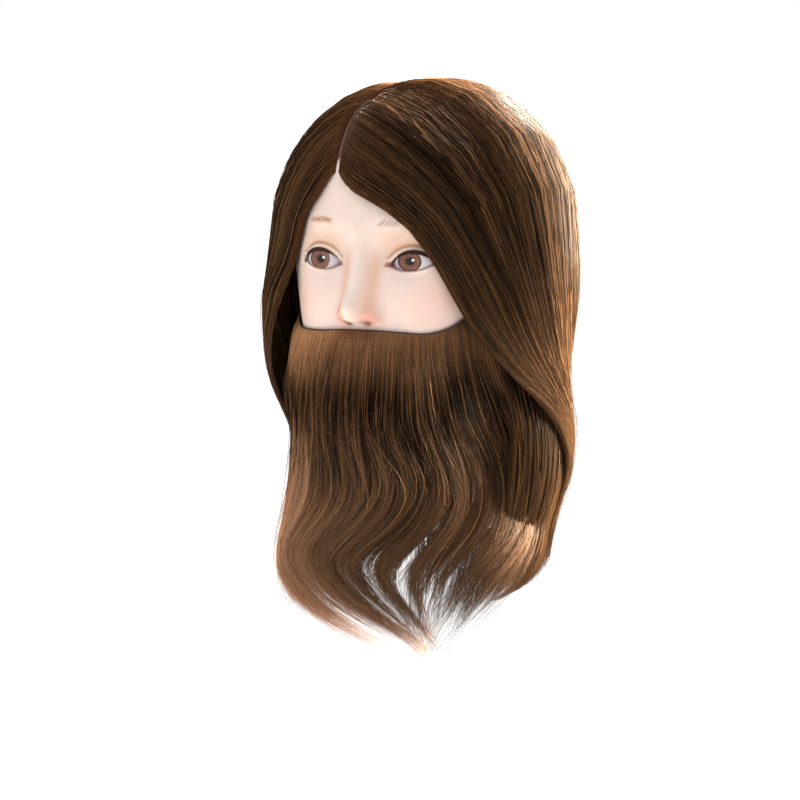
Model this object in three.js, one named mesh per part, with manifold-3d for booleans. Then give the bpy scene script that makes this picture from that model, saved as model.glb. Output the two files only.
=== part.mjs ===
// Hairdresser's training head with rooted hair and a rooted full beard.
// Millimetres, +Z up, the face looks along -Y and the head's own left is +X.
// The origin is the middle of the neck socket's mouth, where the head drops onto its table holder.
import * as THREE from "three";
import { mergeVertices } from "three/addons/utils/BufferGeometryUtils.js";
import Module from "manifold-3d";

const wasm = await Module();
wasm.setup();

// ---------- driving dimensions ----------
const gap = 0.4; // between pieces that touch
const skullCentre = { y: -7, z: 165 };
const skull = { side: 76, front: 96, back: 98, height: 113, power: 2.7 };
const hairDome = { side: 99.5, front: 112, back: 110, height: 120, power: 2.2 };
const skinWall = 4;
const coreStart = 0.34; // ring at which the foam core starts, clear of the neck disc

const socket = { mouth: 13.5, end: 11.5, wall: 2.5, depth: 92, flange: 26, flangeThick: 3 };
const baseDisc = { radius: 47.5, thick: 5 };

const eye = { x: 32, y: -80, z: 173, radius: 12.5, backAt: 3 };
const eyeSlit = { halfWidth: 14.5, halfHeight: 6.6, depth: 40 };
const iris = { radius: 7.4, thick: 1.2, seat: 2.6 };
const cornea = { edge: 0.5, rise: 2.3 };

const ear = { x: 78.6, y: -8, z: 150, thick: 6.2, deep: 16, tall: 30 };

const partFront = new THREE.Vector3(-20, -90, 240); // front end of the parting
const crown = new THREE.Vector3(-10, 20, 279);
const equatorZ = 165; // where the hair leaves the skull and hangs

// ---------- small helpers ----------
const radians = THREE.MathUtils.degToRad;
const mix = THREE.MathUtils.lerp;
const clamp = THREE.MathUtils.clamp;
const smooth = (from, to, value) => THREE.MathUtils.smoothstep(value, from, to);
const bump = (value, centre, width) => Math.exp(-(((value - centre) / width) ** 2));

// A smooth curve through rows of numbers, each row led by its own parameter.
function table(rows, at) {
  const last = rows.length - 1;
  const value = clamp(at, rows[0][0], rows[last][0]);
  let i = 0;
  while (i < last - 1 && value > rows[i + 1][0]) i++;
  const t = (value - rows[i][0]) / (rows[i + 1][0] - rows[i][0]);
  const before = rows[Math.max(i - 1, 0)];
  const after = rows[Math.min(i + 2, last)];
  return rows[i].slice(1).map((start, k) => {
    const end = rows[i + 1][k + 1];
    const startSlope = (end - before[k + 1]) / 2;
    const endSlope = (after[k + 1] - start) / 2;
    const t2 = t * t;
    const t3 = t2 * t;
    return (
      (2 * t3 - 3 * t2 + 1) * start +
      (t3 - 2 * t2 + t) * startSlope +
      (3 * t2 - 2 * t3) * end +
      (t3 - t2) * endSlope
    );
  });
}

function geometryOf(points, triangles) {
  const made = new THREE.BufferGeometry();
  made.setAttribute("position", new THREE.Float32BufferAttribute(points.flatMap((p) => [p.x, p.y, p.z]), 3));
  made.setIndex(triangles);
  return made;
}

function solidOf(geometry) {
  const bare = geometry.clone();
  bare.deleteAttribute("normal");
  bare.deleteAttribute("uv");
  const merged = mergeVertices(bare, 1e-4);
  const triVerts = new Uint32Array(merged.index.array);
  const vertProperties = merged.attributes.position.array;
  return new wasm.Manifold(new wasm.Mesh({ numProp: 3, vertProperties, triVerts }));
}

function geometryFrom(solid) {
  const mesh = solid.getMesh();
  const made = new THREE.BufferGeometry();
  made.setAttribute("position", new THREE.Float32BufferAttribute(mesh.vertProperties, 3));
  made.setIndex(Array.from(mesh.triVerts));
  return made;
}

// Closed slab between two surfaces over a grid of (u, v), both from 0 to 1.
function slab(outer, inner, columns, rows) {
  const points = [];
  const triangles = [];
  const index = (side, i, j) => (side * (rows + 1) + j) * (columns + 1) + i;
  for (const surface of [outer, inner])
    for (let j = 0; j <= rows; j++)
      for (let i = 0; i <= columns; i++) points.push(surface(i / columns, j / rows));
  const quad = (a, b, c, d) => triangles.push(a, b, c, a, c, d);
  for (let j = 0; j < rows; j++)
    for (let i = 0; i < columns; i++) {
      quad(index(0, i, j), index(0, i, j + 1), index(0, i + 1, j + 1), index(0, i + 1, j));
      quad(index(1, i, j), index(1, i + 1, j), index(1, i + 1, j + 1), index(1, i, j + 1));
    }
  for (let j = 0; j < rows; j++) {
    quad(index(0, 0, j), index(1, 0, j), index(1, 0, j + 1), index(0, 0, j + 1));
    quad(index(0, columns, j), index(0, columns, j + 1), index(1, columns, j + 1), index(1, columns, j));
  }
  for (let i = 0; i < columns; i++) {
    quad(index(0, i, 0), index(0, i + 1, 0), index(1, i + 1, 0), index(1, i, 0));
    quad(index(0, i, rows), index(1, i, rows), index(1, i + 1, rows), index(0, i + 1, rows));
  }
  return facingOut(geometryOf(points, triangles));
}

function facingOut(geometry) {
  const at = geometry.attributes.position;
  const order = geometry.index.array;
  const [a, b, c] = [new THREE.Vector3(), new THREE.Vector3(), new THREE.Vector3()];
  let volume = 0;
  for (let i = 0; i < order.length; i += 3) {
    a.fromBufferAttribute(at, order[i]);
    b.fromBufferAttribute(at, order[i + 1]);
    c.fromBufferAttribute(at, order[i + 2]);
    volume += a.dot(b.cross(c));
  }
  if (volume < 0) for (let i = 0; i < order.length; i += 3) [order[i], order[i + 1]] = [order[i + 1], order[i]];
  return geometry;
}

// ---------- the head's surface ----------
// Rings from the neck base up to eye height. Each row: level, height at the front, side and back,
// centre y, half width, reach to the front, reach to the back.
const rings = [
  [0, 0, 0, 0, 0, 54, 55, 53],
  [1, 22, 22, 22, 0, 50, 51, 49],
  [2, 46, 54, 60, 0, 48, 49, 49],
  [3, 57, 74, 84, -2, 51, 66, 54],
  [4, 66, 88, 102, -6, 58, 85, 66],
  [5, 80, 100, 118, -8, 63, 93, 78],
  [6, 97, 113, 134, -8, 66, 93, 88],
  [7, 112, 126, 147, -8, 69, 95, 95],
  [8, 133, 142, 157, -7, 72, 97, 98],
  [9, equatorZ, equatorZ, equatorZ, skullCentre.y, skull.side, skull.front, skull.back],
];
const ringTop = rings.length - 1;
const levels = ringTop + 1; // the skull's dome fills the last level

// Facial relief on the ring surface: how far a point moves forward.
function relief(x, z) {
  const side = Math.abs(x);
  const bridge = 12 * bump(x, 0, 8) * (1 - smooth(148, 190, z)) * smooth(132, 140, z);
  const tip = 11 * bump(x, 0, 8.5) * bump(z, 145, 7);
  const wings = 5 * bump(side, 11, 5.5) * bump(z, 142, 5);
  const sockets = -4.5 * bump(side, 27, 14) * bump(z, 176, 13);
  const lids = 2.4 * bump(Math.hypot(side - eye.x, 1.4 * (z - eye.z)), 11, 5);
  const brow = 2.5 * bump(side, 26, 20) * bump(z, 196, 8);
  const cheeks = 3 * bump(side, 40, 14) * bump(z, 150, 14);
  const lips = 2.6 * bump(x, 0, 17) * (bump(z, 112, 4) + bump(z, 104, 4));
  const chin = 2.6 * bump(x, 0, 16) * bump(z, 84, 8);
  return bridge + tip + wings + sockets + lids + brow + cheeks + lips + chin;
}

// A point of the head at an angle from straight ahead and a level, sunk below the skin by depth.
function headPoint(angle, level, depth = 0, withFace = true) {
  const ahead = Math.cos(angle);
  let height, centreY, halfWidth, reach;
  if (level <= ringTop) {
    const [zFront, zSide, zBack, y, wide, front, back] = table(rings, level);
    height = zSide + (ahead > 0 ? (zFront - zSide) * ahead ** 1.5 : (zBack - zSide) * (-ahead) ** 1.5);
    centreY = y;
    halfWidth = wide - depth;
    reach = (ahead > 0 ? front : back) - depth;
  } else {
    const climb = Math.sin(((level - ringTop) * Math.PI) / 2);
    const shrink = (1 - climb ** skull.power) ** (1 / skull.power);
    height = skullCentre.z + (skull.height - depth) * climb;
    centreY = skullCentre.y;
    halfWidth = (skull.side - depth) * shrink;
    reach = ((ahead > 0 ? skull.front : skull.back) - depth) * shrink;
  }
  const point = new THREE.Vector3(halfWidth * Math.sin(angle), centreY - reach * ahead, height);
  if (level < 1) point.z = Math.max(point.z, 0);
  if (withFace && ahead > 0) point.y -= relief(point.x, point.z) * smooth(0.15, 0.5, ahead);
  return point;
}

// Closed surface of rings over the head, from a lower level to the vertex.
function headRings(depth, columns, rowLevels, withFace) {
  const points = [];
  for (const level of rowLevels)
    for (let i = 0; i < columns; i++) {
      const turn = (2 * i) / columns - 1;
      const angle = Math.PI * Math.sign(turn) * Math.abs(turn) ** 1.35;
      points.push(headPoint(angle, level, depth, withFace));
    }
  const top = headPoint(0, levels, depth, false);
  top.y = skullCentre.y;
  top.z = skullCentre.z + skull.height - depth;
  points.push(top);
  return points;
}

function ringTriangles(columns, rowCount, first, outward) {
  const triangles = [];
  const add = (a, b, c) => (outward ? triangles.push(a, b, c) : triangles.push(a, c, b));
  for (let j = 0; j < rowCount - 1; j++)
    for (let i = 0; i < columns; i++) {
      const next = (i + 1) % columns;
      const [a, b] = [first + j * columns + i, first + j * columns + next];
      const [c, d] = [a + columns, b + columns];
      add(a, b, d);
      add(a, d, c);
    }
  const pole = first + rowCount * columns;
  for (let i = 0; i < columns; i++)
    add(first + (rowCount - 1) * columns + i, first + (rowCount - 1) * columns + ((i + 1) % columns), pole);
  return triangles;
}

const evenly = (count, from, to) => Array.from({ length: count }, (_, i) => mix(from, to, i / (count - 1)));

const headColumns = 38;
const insideLevels = [...evenly(6, 0, 4), ...evenly(7, 4.7, 9), ...evenly(5, 9.25, 9.93)];

function headShellGeometry() {
  const columns = headColumns;
  const outerLevels = [...evenly(6, 0, 4), ...evenly(18, 4.35, 9), ...evenly(7, 9.2, 9.95)];
  const innerLevels = insideLevels;
  const outer = headRings(0, columns, outerLevels, true);
  const inner = headRings(skinWall, columns, innerLevels, false);
  const triangles = [
    ...ringTriangles(columns, outerLevels.length, 0, true),
    ...ringTriangles(columns, innerLevels.length, outer.length, false),
  ];
  for (let i = 0; i < columns; i++) {
    const next = (i + 1) % columns;
    triangles.push(i, outer.length + i, outer.length + next, i, outer.length + next, next);
  }
  return facingOut(geometryOf([...outer, ...inner], triangles));
}

function headShell() {
  let shell = solidOf(headShellGeometry());
  for (const side of [-1, 1]) {
    const lobe = new THREE.SphereGeometry(1, 14, 10);
    lobe.scale(ear.thick, ear.deep, ear.tall);
    lobe.rotateX(radians(12));
    lobe.translate(side * ear.x, ear.y, ear.z);
    shell = shell.add(solidOf(lobe));
    shell = shell.subtract(solidOf(eyeSlitGeometry(side)));
    shell = shell.subtract(solidOf(eyeBall(side, eye.radius + gap)));
  }
  return largest(shell);
}

function largest(solid) {
  return solid.decompose().reduce((best, each) => (each.volume() > best.volume() ? each : best));
}

function foamCore() {
  const columns = headColumns;
  const rowLevels = [coreStart, ...insideLevels.slice(1)];
  const points = headRings(skinWall + 2 * gap, columns, rowLevels, false);
  const middle = points.length;
  points.push(new THREE.Vector3(0, 0, points[0].z));
  const triangles = ringTriangles(columns, rowLevels.length, 0, true);
  for (let i = 0; i < columns; i++) triangles.push(middle, (i + 1) % columns, i);
  let core = solidOf(facingOut(geometryOf(points, triangles)));
  const sleeve = new THREE.CylinderGeometry(
    socket.end + socket.wall + gap, socket.mouth + socket.wall + gap, socket.depth + 2 * gap, 28);
  sleeve.rotateX(Math.PI / 2);
  sleeve.translate(0, 0, socket.depth / 2 + gap);
  core = core.subtract(solidOf(sleeve));
  for (const side of [-1, 1]) core = core.subtract(solidOf(eyeBall(side, eye.radius + gap)));
  return largest(core);
}

// ---------- neck fittings ----------
function neckSocket() {
  const outerEnd = socket.end + socket.wall;
  const outerMouth = socket.mouth + socket.wall;
  const profile = [
    [socket.mouth, 0],
    [socket.flange, 0],
    [socket.flange, socket.flangeThick],
    [outerMouth, socket.flangeThick],
    [outerEnd, socket.depth],
    [0, socket.depth],
    [0, socket.depth - socket.wall],
    [socket.end, socket.depth - socket.wall],
    [socket.mouth, 0],
  ].map(([r, z]) => new THREE.Vector2(r, z));
  const made = new THREE.LatheGeometry(profile, 28);
  made.rotateX(Math.PI / 2);
  return made;
}

function neckBaseDisc() {
  const hole = socket.flange + gap;
  const profile = [
    [hole, 0],
    [baseDisc.radius, 0],
    [baseDisc.radius, baseDisc.thick],
    [hole, baseDisc.thick],
    [hole, 0],
  ].map(([r, z]) => new THREE.Vector2(r, z));
  const made = new THREE.LatheGeometry(profile, 40);
  made.rotateX(Math.PI / 2);
  return made;
}

// ---------- eyes ----------
function eyeBall(side, radius) {
  const ball = new THREE.SphereGeometry(radius, 22, 16);
  ball.translate(side * eye.x, eye.y, eye.z);
  return ball;
}

// Almond-shaped opening between the lids, cut straight back.
function eyeSlitGeometry(side) {
  const outline = new THREE.Shape();
  const corner = eyeSlit.halfWidth;
  outline.moveTo(-corner, 0);
  outline.quadraticCurveTo(0, 2 * eyeSlit.halfHeight, corner, 0);
  outline.quadraticCurveTo(0, -2 * eyeSlit.halfHeight, -corner, 0);
  const made = new THREE.ExtrudeGeometry(outline, { depth: eyeSlit.depth, bevelEnabled: false, curveSegments: 8 });
  made.rotateX(Math.PI / 2);
  made.translate(side * eye.x, eye.y - 5, eye.z);
  return made;
}

// Turned pieces of an eye stand on the eye's own axis, which points straight ahead.
function turned(profile, side, segments) {
  const made = new THREE.LatheGeometry(profile.map(([r, out]) => new THREE.Vector2(r, out)), segments);
  made.rotateX(Math.PI);
  made.translate(side * eye.x, eye.y, eye.z);
  return facingOut(made);
}

// Where a ring of the iris's radius lies on the ball, in front of the eye's centre.
const irisFront = Math.sqrt(eye.radius ** 2 - iris.radius ** 2);

function eyeballPiece(side) {
  const steps = 6;
  const rim = Math.asin((iris.radius + gap) / eye.radius);
  const equator = Math.acos(-eye.backAt / eye.radius);
  const arc = evenly(steps, equator, rim).map((turn) => [eye.radius * Math.sin(turn), eye.radius * Math.cos(turn)]);
  const seat = irisFront - iris.seat;
  return turned([[0, -eye.backAt], ...arc, [iris.radius + gap, seat], [0, seat], [0, -eye.backAt]], side, 24);
}

function irisPiece(side) {
  const back = irisFront - iris.seat + gap;
  const profile = [
    [0, back],
    [iris.radius, back],
    [iris.radius, back + iris.thick],
    [0, back + iris.thick],
    [0, back],
  ];
  return turned(profile, side, 24);
}

function corneaPiece(side) {
  const back = irisFront - iris.seat + iris.thick + 2 * gap;
  const dome = evenly(5, 0, 1).map((t) => [
    iris.radius * Math.cos((t * Math.PI) / 2),
    back + cornea.edge + cornea.rise * Math.sin((t * Math.PI) / 2),
  ]);
  dome[dome.length - 1][0] = 0;
  return turned([[0, back], [iris.radius, back], ...dome, [0, back]], side, 24);
}

// ---------- hair on the scalp ----------
// Distance from the skull's centre along a unit direction to a dome of the given half axes.
function domeReach(dome, direction) {
  const reach = direction.y < 0 ? dome.front : dome.back;
  const sum =
    (Math.hypot(direction.x / dome.side, direction.y / reach)) ** dome.power +
    (Math.max(direction.z, 0) / dome.height) ** dome.power;
  return sum ** (-1 / dome.power);
}

const fromCentre = (point) => new THREE.Vector3(point.x, point.y - skullCentre.y, point.z - skullCentre.z).normalize();

// side +1 is the head's left. u runs from the hair at the face round to the back of the head.
const faceAngle = { "1": 34, "-1": 40 };
const equatorAngle = (side, u) => radians(mix(faceAngle[side], 180, u));

function rootDirection(u) {
  const along = clamp(u / 0.45, 0, 1);
  return fromCentre(partFront.clone().lerp(crown, along)).normalize();
}

function capDirection(side, u, v) {
  const angle = side * equatorAngle(side, u);
  const hang = new THREE.Vector3(Math.sin(angle), -Math.cos(angle), 0);
  const start = rootDirection(u);
  start.x += side * 0.012;
  return start.lerp(hang, v).normalize();
}

// The hair is thin at the face and at the parting and full elsewhere.
function fullness(u, v) {
  return mix(0.16, 1, smooth(0, 0.3, u)) * mix(0.55, 1, smooth(0, 0.35, v));
}

function capPoint(side, u, v, outside) {
  const direction = capDirection(side, u, v);
  const scalp = domeReach(skull, direction) + 2.2;
  const top = mix(scalp + 1.5, domeReach(hairDome, direction), fullness(u, v));
  const reach = outside ? top : scalp + 0.6 + 7 * smooth(0.75, 1, v) * smooth(0.1, 0.4, u);
  return direction.multiplyScalar(reach).add(new THREE.Vector3(0, skullCentre.y, skullCentre.z));
}

// Hanging hair: height, half width on the head's left and right, reach to front, reach to back.
const hanging = [
  [-40, 80, 80, 84, 84],
  [0, 90, 84, 94, 92],
  [35, 99, 87, 98, 97],
  [60, 102, 88, 100, 99],
  [80, 100, 92, 103, 101],
  [105, 98, 96, 106, 105],
  [135, 98.5, 98.5, 111, 108],
  [equatorZ, 99.5, 99.5, 112, 110],
];
// Degrees from straight ahead at which the hair by the face hangs, by height.
const faceEdge = {
  "1": [[-40, 96], [50, 100], [80, 84], [100, 66], [120, 51], [137, 41], [equatorZ, faceAngle["1"]]],
  "-1": [[-40, 92], [52, 88], [80, 78], [100, 67], [120, 53], [137, 45], [equatorZ, faceAngle["-1"]]],
};
const faceHair = { reach: 96, thick: 3.2 };
const hairTips = {
  "1": [[0, 50], [0.1, 20], [0.25, -30], [0.5, -38], [1, -30]],
  "-1": [[0, 52], [0.2, 34], [0.45, 0], [0.7, -22], [1, -30]],
};

function hangPoint(side, u, v, outside) {
  const z = mix(equatorZ - gap, table(hairTips[side], u)[0], v);
  const [edge] = table(faceEdge[side], z);
  const angle = radians(mix(edge, 180, u));
  const [leftWide, rightWide, front, back] = table(hanging, z);
  const wide = side > 0 ? leftWide : rightWide;
  const reachY = Math.cos(angle) > 0 ? front : back;
  const full = smooth(0, 0.3, u);
  const outer = 1 / Math.hypot(Math.sin(angle) / wide, Math.cos(angle) / reachY);
  const reach = mix(Math.min(faceHair.reach, outer), outer, full);
  const thick = mix(faceHair.thick, mix(9, 8, smooth(0.6, 1, u)), full);
  const r = outside ? reach : reach - thick;
  return new THREE.Vector3(side * r * Math.sin(angle), skullCentre.y - r * Math.cos(angle), z);
}

// One section of hair between two labels of u, kept apart from its neighbours.
function section(pointAt, side, uFrom, uTo, vFrom, vTo, columns, rows) {
  const within = (outside) => (i, j) =>
    pointAt(side, mix(uFrom + 0.002, uTo - 0.002, i), mix(vFrom, vTo, j), outside);
  return slab(within(true), within(false), columns, rows);
}

// ---------- beard-piece ----------
// Upper edge of the beard on the face: degrees round the head from straight ahead, height.
const beardEdge = {
  "1": [[0, 130], [10, 129.8], [22, 128.6], [35, 127.8], [45, 131.5], [53, 138], [66, 143]],
  "-1": [[0, 130], [10, 129.8], [22, 128.6], [35, 128], [50, 128.5], [58, 131], [66, 135]],
};
const beardRound = 66; // degrees that the beard-piece reaches round each side
const beardChinLevel = 4.7; // the net ends under the chin at this ring

// Layers of the beard-piece, as distances from the face.
const hookPad = { from: 0.4, to: 1.5 };
const loopPad = { from: 1.9, to: 3.2 };
const net = { from: 3.6, to: 4.3 };
const tape = { from: 3.4, to: 4.6, tall: 1.8 };
const beardRoots = 4.7;
const pads = { roundFrom: 42, roundTo: 56, low: 98, high: 113 };

// Below the chin the beard hangs free. Height, centre y, half width and front reach of its inside,
// then half width and front reach of its outside.
const beardHang = [
  [-60, -22, 66, 78, 80, 92],
  [-20, -19, 76, 84, 88, 101],
  [20, -14, 74, 91, 85, 109],
  [60, -10, 69, 98, 79, 113],
  [100, -8, 71, 100, 80, 110],
];
const beardTips = [[-1, -18], [-0.6, -46], [-0.1, -52], [0.35, -60], [0.7, -44], [1, -14]];

// The featureless face at an angle and a height, a distance in front of the skin.
function facePoint(angle, z, offset) {
  let [low, high] = [4.2, ringTop];
  for (let step = 0; step < 22; step++) {
    const middle = (low + high) / 2;
    if (headPoint(angle, middle, -offset, false).z < z) low = middle;
    else high = middle;
  }
  const point = headPoint(angle, low, -offset, false);
  point.z = z;
  return point;
}

const roundOf = (u) => radians(u * beardRound);
const edgeOf = (u) => table(beardEdge[u < 0 ? "-1" : "1"], Math.abs(u) * beardRound)[0];

function beardPoint(u, v, outside) {
  const angle = roundOf(u);
  const z = mix(edgeOf(u), table(beardTips, u)[0], v);
  const fluff = outside ? mix(2.4, 12, smooth(0, 0.24, v)) : 0;
  const point = facePoint(angle, z, beardRoots + fluff);
  const [centreY, innerWide, innerFront, outerWide, outerFront] = table(beardHang, z);
  const wide = outside ? outerWide : innerWide;
  const front = outside ? outerFront : innerFront;
  const free = new THREE.Vector3(wide * Math.sin(angle), centreY - front * Math.cos(angle), z);
  return point.lerp(free, 1 - smooth(72, 96, z));
}

// A patch lying along the face between two angles and two heights.
function facePatch(layer, roundFrom, roundTo, heights, columns, rows) {
  const at = (offset) => (i, j) => {
    const degreesRound = mix(roundFrom, roundTo, i);
    const [low, high] = heights(degreesRound);
    return facePoint(radians(degreesRound), mix(low, high, j), offset);
  };
  return slab(at(layer.to), at(layer.from), columns, rows);
}

function beardNet() {
  const at = (offset) => (i, j) => {
    const u = mix(-1, 1, i);
    const low = headPoint(roundOf(u), beardChinLevel).z;
    return facePoint(roundOf(u), mix(low, edgeOf(u), j), offset);
  };
  return slab(at(net.to), at(net.from), 20, 8);
}

function beardEdgeTape() {
  const heights = (round) => {
    const edge = edgeOf(round / beardRound) + gap;
    return [edge, edge + tape.tall];
  };
  return facePatch(tape, -beardRound, beardRound, heights, 32, 1);
}

function facePad(layer, side) {
  return facePatch(layer, side * pads.roundFrom, side * pads.roundTo, () => [pads.low, pads.high], 4, 3);
}

// ---------- assembly ----------
const skinLook = { color: "#efd7cb", roughness: 0.45 };
const hairLook = { color: "#5a3c28", roughness: 0.4 };
const whitePlastic = { color: "#e4e0d8", roughness: 0.5 };

const head = new THREE.Group();

function place(name, geometry, look) {
  const mesh = new THREE.Mesh(geometry, new THREE.MeshStandardMaterial({ metalness: 0, ...look }));
  mesh.name = name;
  head.add(mesh);
}

place("head_shell", geometryFrom(headShell()), skinLook);
place("foam_core", geometryFrom(foamCore()), { color: "#d9c9a3", roughness: 0.9 });
place("neck_socket", neckSocket(), whitePlastic);
place("neck_base_disc", neckBaseDisc(), whitePlastic);

for (const [side, label] of [[1, "left"], [-1, "right"]]) {
  place(`eyeball_${label}`, eyeballPiece(side), { color: "#e6e1e0", roughness: 0.2 });
  place(`iris_${label}`, irisPiece(side), { color: "#7d5442", roughness: 0.35 });
  place(`cornea_${label}`, corneaPiece(side), { color: "#ffffff", roughness: 0.03, transparent: true, opacity: 0.3 });
  const sections = [["face_frame", 0.0, 0.2], ["side", 0.2, 0.45], ["behind_ear", 0.45, 0.72], ["back", 0.72, 1.0]];
  for (const [where, from, to] of sections) {
    place(`hair_top_${where}_${label}`, section(capPoint, side, from, to, 0.02, 1, 5, 9), hairLook);
    place(`hair_fall_${where}_${label}`, section(hangPoint, side, from, to, 0, 1, 5, 8), hairLook);
  }
}

const beardParts = [
  ["beard_side_right", -1, -0.62], ["beard_cheek_right", -0.62, -0.24], ["beard_chin", -0.24, 0.24],
  ["beard_cheek_left", 0.24, 0.62], ["beard_side_left", 0.62, 1],
];
for (const [name, from, to] of beardParts) {
  const within = (outside) => (i, j) => beardPoint(mix(from + 0.002, to - 0.002, i), mix(0, 1, j), outside);
  place(name, slab(within(true), within(false), 6, 14), hairLook);
}
place("beard_net", beardNet(), { color: "#3a2a20", roughness: 0.8 });
place("beard_edge_tape", beardEdgeTape(), { color: "#1d1512", roughness: 0.8 });
for (const [side, label] of [[1, "left"], [-1, "right"]]) {
  place(`hook_pad_${label}`, facePad(hookPad, side), { color: "#efe9df", roughness: 0.9 });
  place(`loop_pad_${label}`, facePad(loopPad, side), { color: "#efe9df", roughness: 0.9 });
}

export default head;
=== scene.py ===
"""A hairdresser's training head with rooted hair and a removable beard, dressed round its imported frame.

Shapes are worked out in millimetres in the frame's own axes and turned into metres when a mesh is made.
"""

import bmesh
import bpy
import numpy as np
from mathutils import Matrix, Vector


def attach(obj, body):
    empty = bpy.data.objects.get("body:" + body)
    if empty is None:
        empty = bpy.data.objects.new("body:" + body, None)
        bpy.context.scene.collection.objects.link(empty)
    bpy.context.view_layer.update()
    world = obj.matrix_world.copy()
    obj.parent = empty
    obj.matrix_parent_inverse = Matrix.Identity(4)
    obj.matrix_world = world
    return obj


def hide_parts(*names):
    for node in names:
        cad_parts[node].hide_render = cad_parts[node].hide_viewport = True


MM = 0.001
SIDE_NAME = {1: "left", -1: "right"}
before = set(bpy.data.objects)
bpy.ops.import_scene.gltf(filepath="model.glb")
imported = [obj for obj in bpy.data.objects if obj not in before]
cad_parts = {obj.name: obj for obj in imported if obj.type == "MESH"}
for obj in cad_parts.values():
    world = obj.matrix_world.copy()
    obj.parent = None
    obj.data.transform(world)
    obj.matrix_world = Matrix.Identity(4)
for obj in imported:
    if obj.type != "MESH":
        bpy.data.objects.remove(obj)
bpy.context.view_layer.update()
rng = np.random.default_rng(20)


# ---------------------------------------------------------------- numbers and curves


def smooth(low, high, value):
    t = np.clip((value - low) / (high - low), 0, 1)
    return t * t * (3 - 2 * t)


def bump(value, centre, width):
    return np.exp(-(((value - centre) / width) ** 2))


def spot(across, centre, width, up, middle, height):
    """A soft oval spot, 1 at its middle."""
    return np.exp(-(((across - centre) / width) ** 2) - ((up - middle) / height) ** 2)


def mix(a, b, t):
    return a + (b - a) * t


def curve(knots, values, at):
    """A smooth curve through values at knots, which rise; values may have several columns."""
    knots = np.asarray(knots, float)
    values = np.asarray(values, float)
    slopes = np.gradient(values, knots, axis=0)
    at = np.clip(at, knots[0], knots[-1])
    i = np.clip(np.searchsorted(knots, at, side="right") - 1, 0, len(knots) - 2)
    step = knots[i + 1] - knots[i]
    t = (at - knots[i]) / step
    if values.ndim > 1:
        t, step = t[..., None], step[..., None]
    t2, t3 = t * t, t * t * t
    return (
        (2 * t3 - 3 * t2 + 1) * values[i]
        + (t3 - 2 * t2 + t) * slopes[i] * step
        + (3 * t2 - 2 * t3) * values[i + 1]
        + (t3 - t2) * slopes[i + 1] * step
    )


def table(rows, at):
    """Columns of a table of rows, each led by its knot."""
    rows = np.asarray(rows, float)
    found = curve(rows[:, 0], rows[:, 1:], np.asarray(at, float))
    return [found[..., column] for column in range(rows.shape[1] - 1)]


def unit(vectors):
    return vectors / np.linalg.norm(vectors, axis=-1, keepdims=True)


def srgb(red, green, blue):
    """A colour given as it looks on screen, from 0 to 255, in linear light."""
    value = np.array([red, green, blue]) / 255
    return np.where(value <= 0.04045, value / 12.92, ((value + 0.055) / 1.055) ** 2.4)


# ---------------------------------------------------------------- meshes


def linked(name, data):
    """A new object in the scene."""
    made = bpy.data.objects.new(name, data)
    bpy.context.scene.collection.objects.link(made)
    return made


def new_object(name, points, faces):
    """points in millimetres; faces as lists of corners."""
    mesh = bpy.data.meshes.new(name)
    mesh.from_pydata((np.asarray(points) * MM).tolist(), [], faces)
    mesh.polygons.foreach_set("use_smooth", np.ones(len(mesh.polygons), bool))
    mesh.update()
    return linked(name, mesh)


def outward(obj):
    """Turns every face of a closed mesh to look outwards."""
    bm = bmesh.new()
    bm.from_mesh(obj.data)
    bmesh.ops.recalc_face_normals(bm, faces=bm.faces)
    bm.to_mesh(obj.data)
    bm.free()


def paint(obj, colours):
    """One colour for each vertex."""
    attribute = obj.data.color_attributes.new("tint", "FLOAT_COLOR", "POINT")
    values = np.ones((len(colours), 4), np.float32)
    values[:, :3] = colours
    attribute.data.foreach_set("color", values.ravel())


def finish_piece(obj, body, slot, material, *replaced):
    obj.data.materials.append(material)
    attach(obj, body)
    if replaced:
        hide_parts(*replaced)
    return obj


# ---------------------------------------------------------------- the head's surface

SKULL_Y, EQUATOR = -7.0, 165.0
SKULL = dict(side=76.0, front=96.0, back=98.0, height=113.0, power=2.7)
HAIR_DOME = {
    side: dict(side=99.5, front=112.0, back=110.0, height=119.5, power=power)
    for side, power in ((1, 2.33), (-1, 2.09))
}

# Rings from the neck base up to eye height, as in the CAD model: ring number, height at the front,
# side and back, centre y, half width, reach to the front, reach to the back.
RINGS = [
    [0, 0, 0, 0, 0, 54, 55, 53],
    [1, 22, 22, 22, 0, 50, 51, 49],
    [2, 46, 54, 60, 0, 48, 49, 49],
    [3, 57, 74, 84, -2, 51, 66, 54],
    [4, 66, 88, 102, -6, 58, 85, 66],
    [5, 80, 100, 118, -8, 63, 93, 78],
    [6, 97, 113, 134, -8, 66, 93, 88],
    [7, 112, 126, 147, -8, 69, 95, 95],
    [8, 133, 142, 157, -7, 72, 97, 98],
    [9, EQUATOR, EQUATOR, EQUATOR, SKULL_Y, 76, 96, 98],
]
TOP_RING = 9


def head_points(angle, level, depth=0.0):
    """The featureless head at angles from straight ahead and ring levels up to TOP_RING + 1."""
    ahead = np.cos(angle)
    ringed = np.minimum(level, TOP_RING)
    z_front, z_side, z_back, centre_y, wide, front, back = table(RINGS, ringed)
    lift = np.where(ahead > 0, z_front - z_side, z_back - z_side) * np.abs(ahead) ** 1.5
    climb = np.sin(np.clip(level - TOP_RING, 0, 1) * np.pi / 2)
    shrink = (1 - climb ** SKULL["power"]) ** (1 / SKULL["power"])
    reach = np.where(ahead > 0, front, back) - depth
    x = (wide - depth) * shrink * np.sin(angle)
    y = centre_y - reach * shrink * ahead
    z = z_side + lift + (SKULL["height"] - depth) * climb
    return np.stack([x, y, z], axis=-1)


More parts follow.
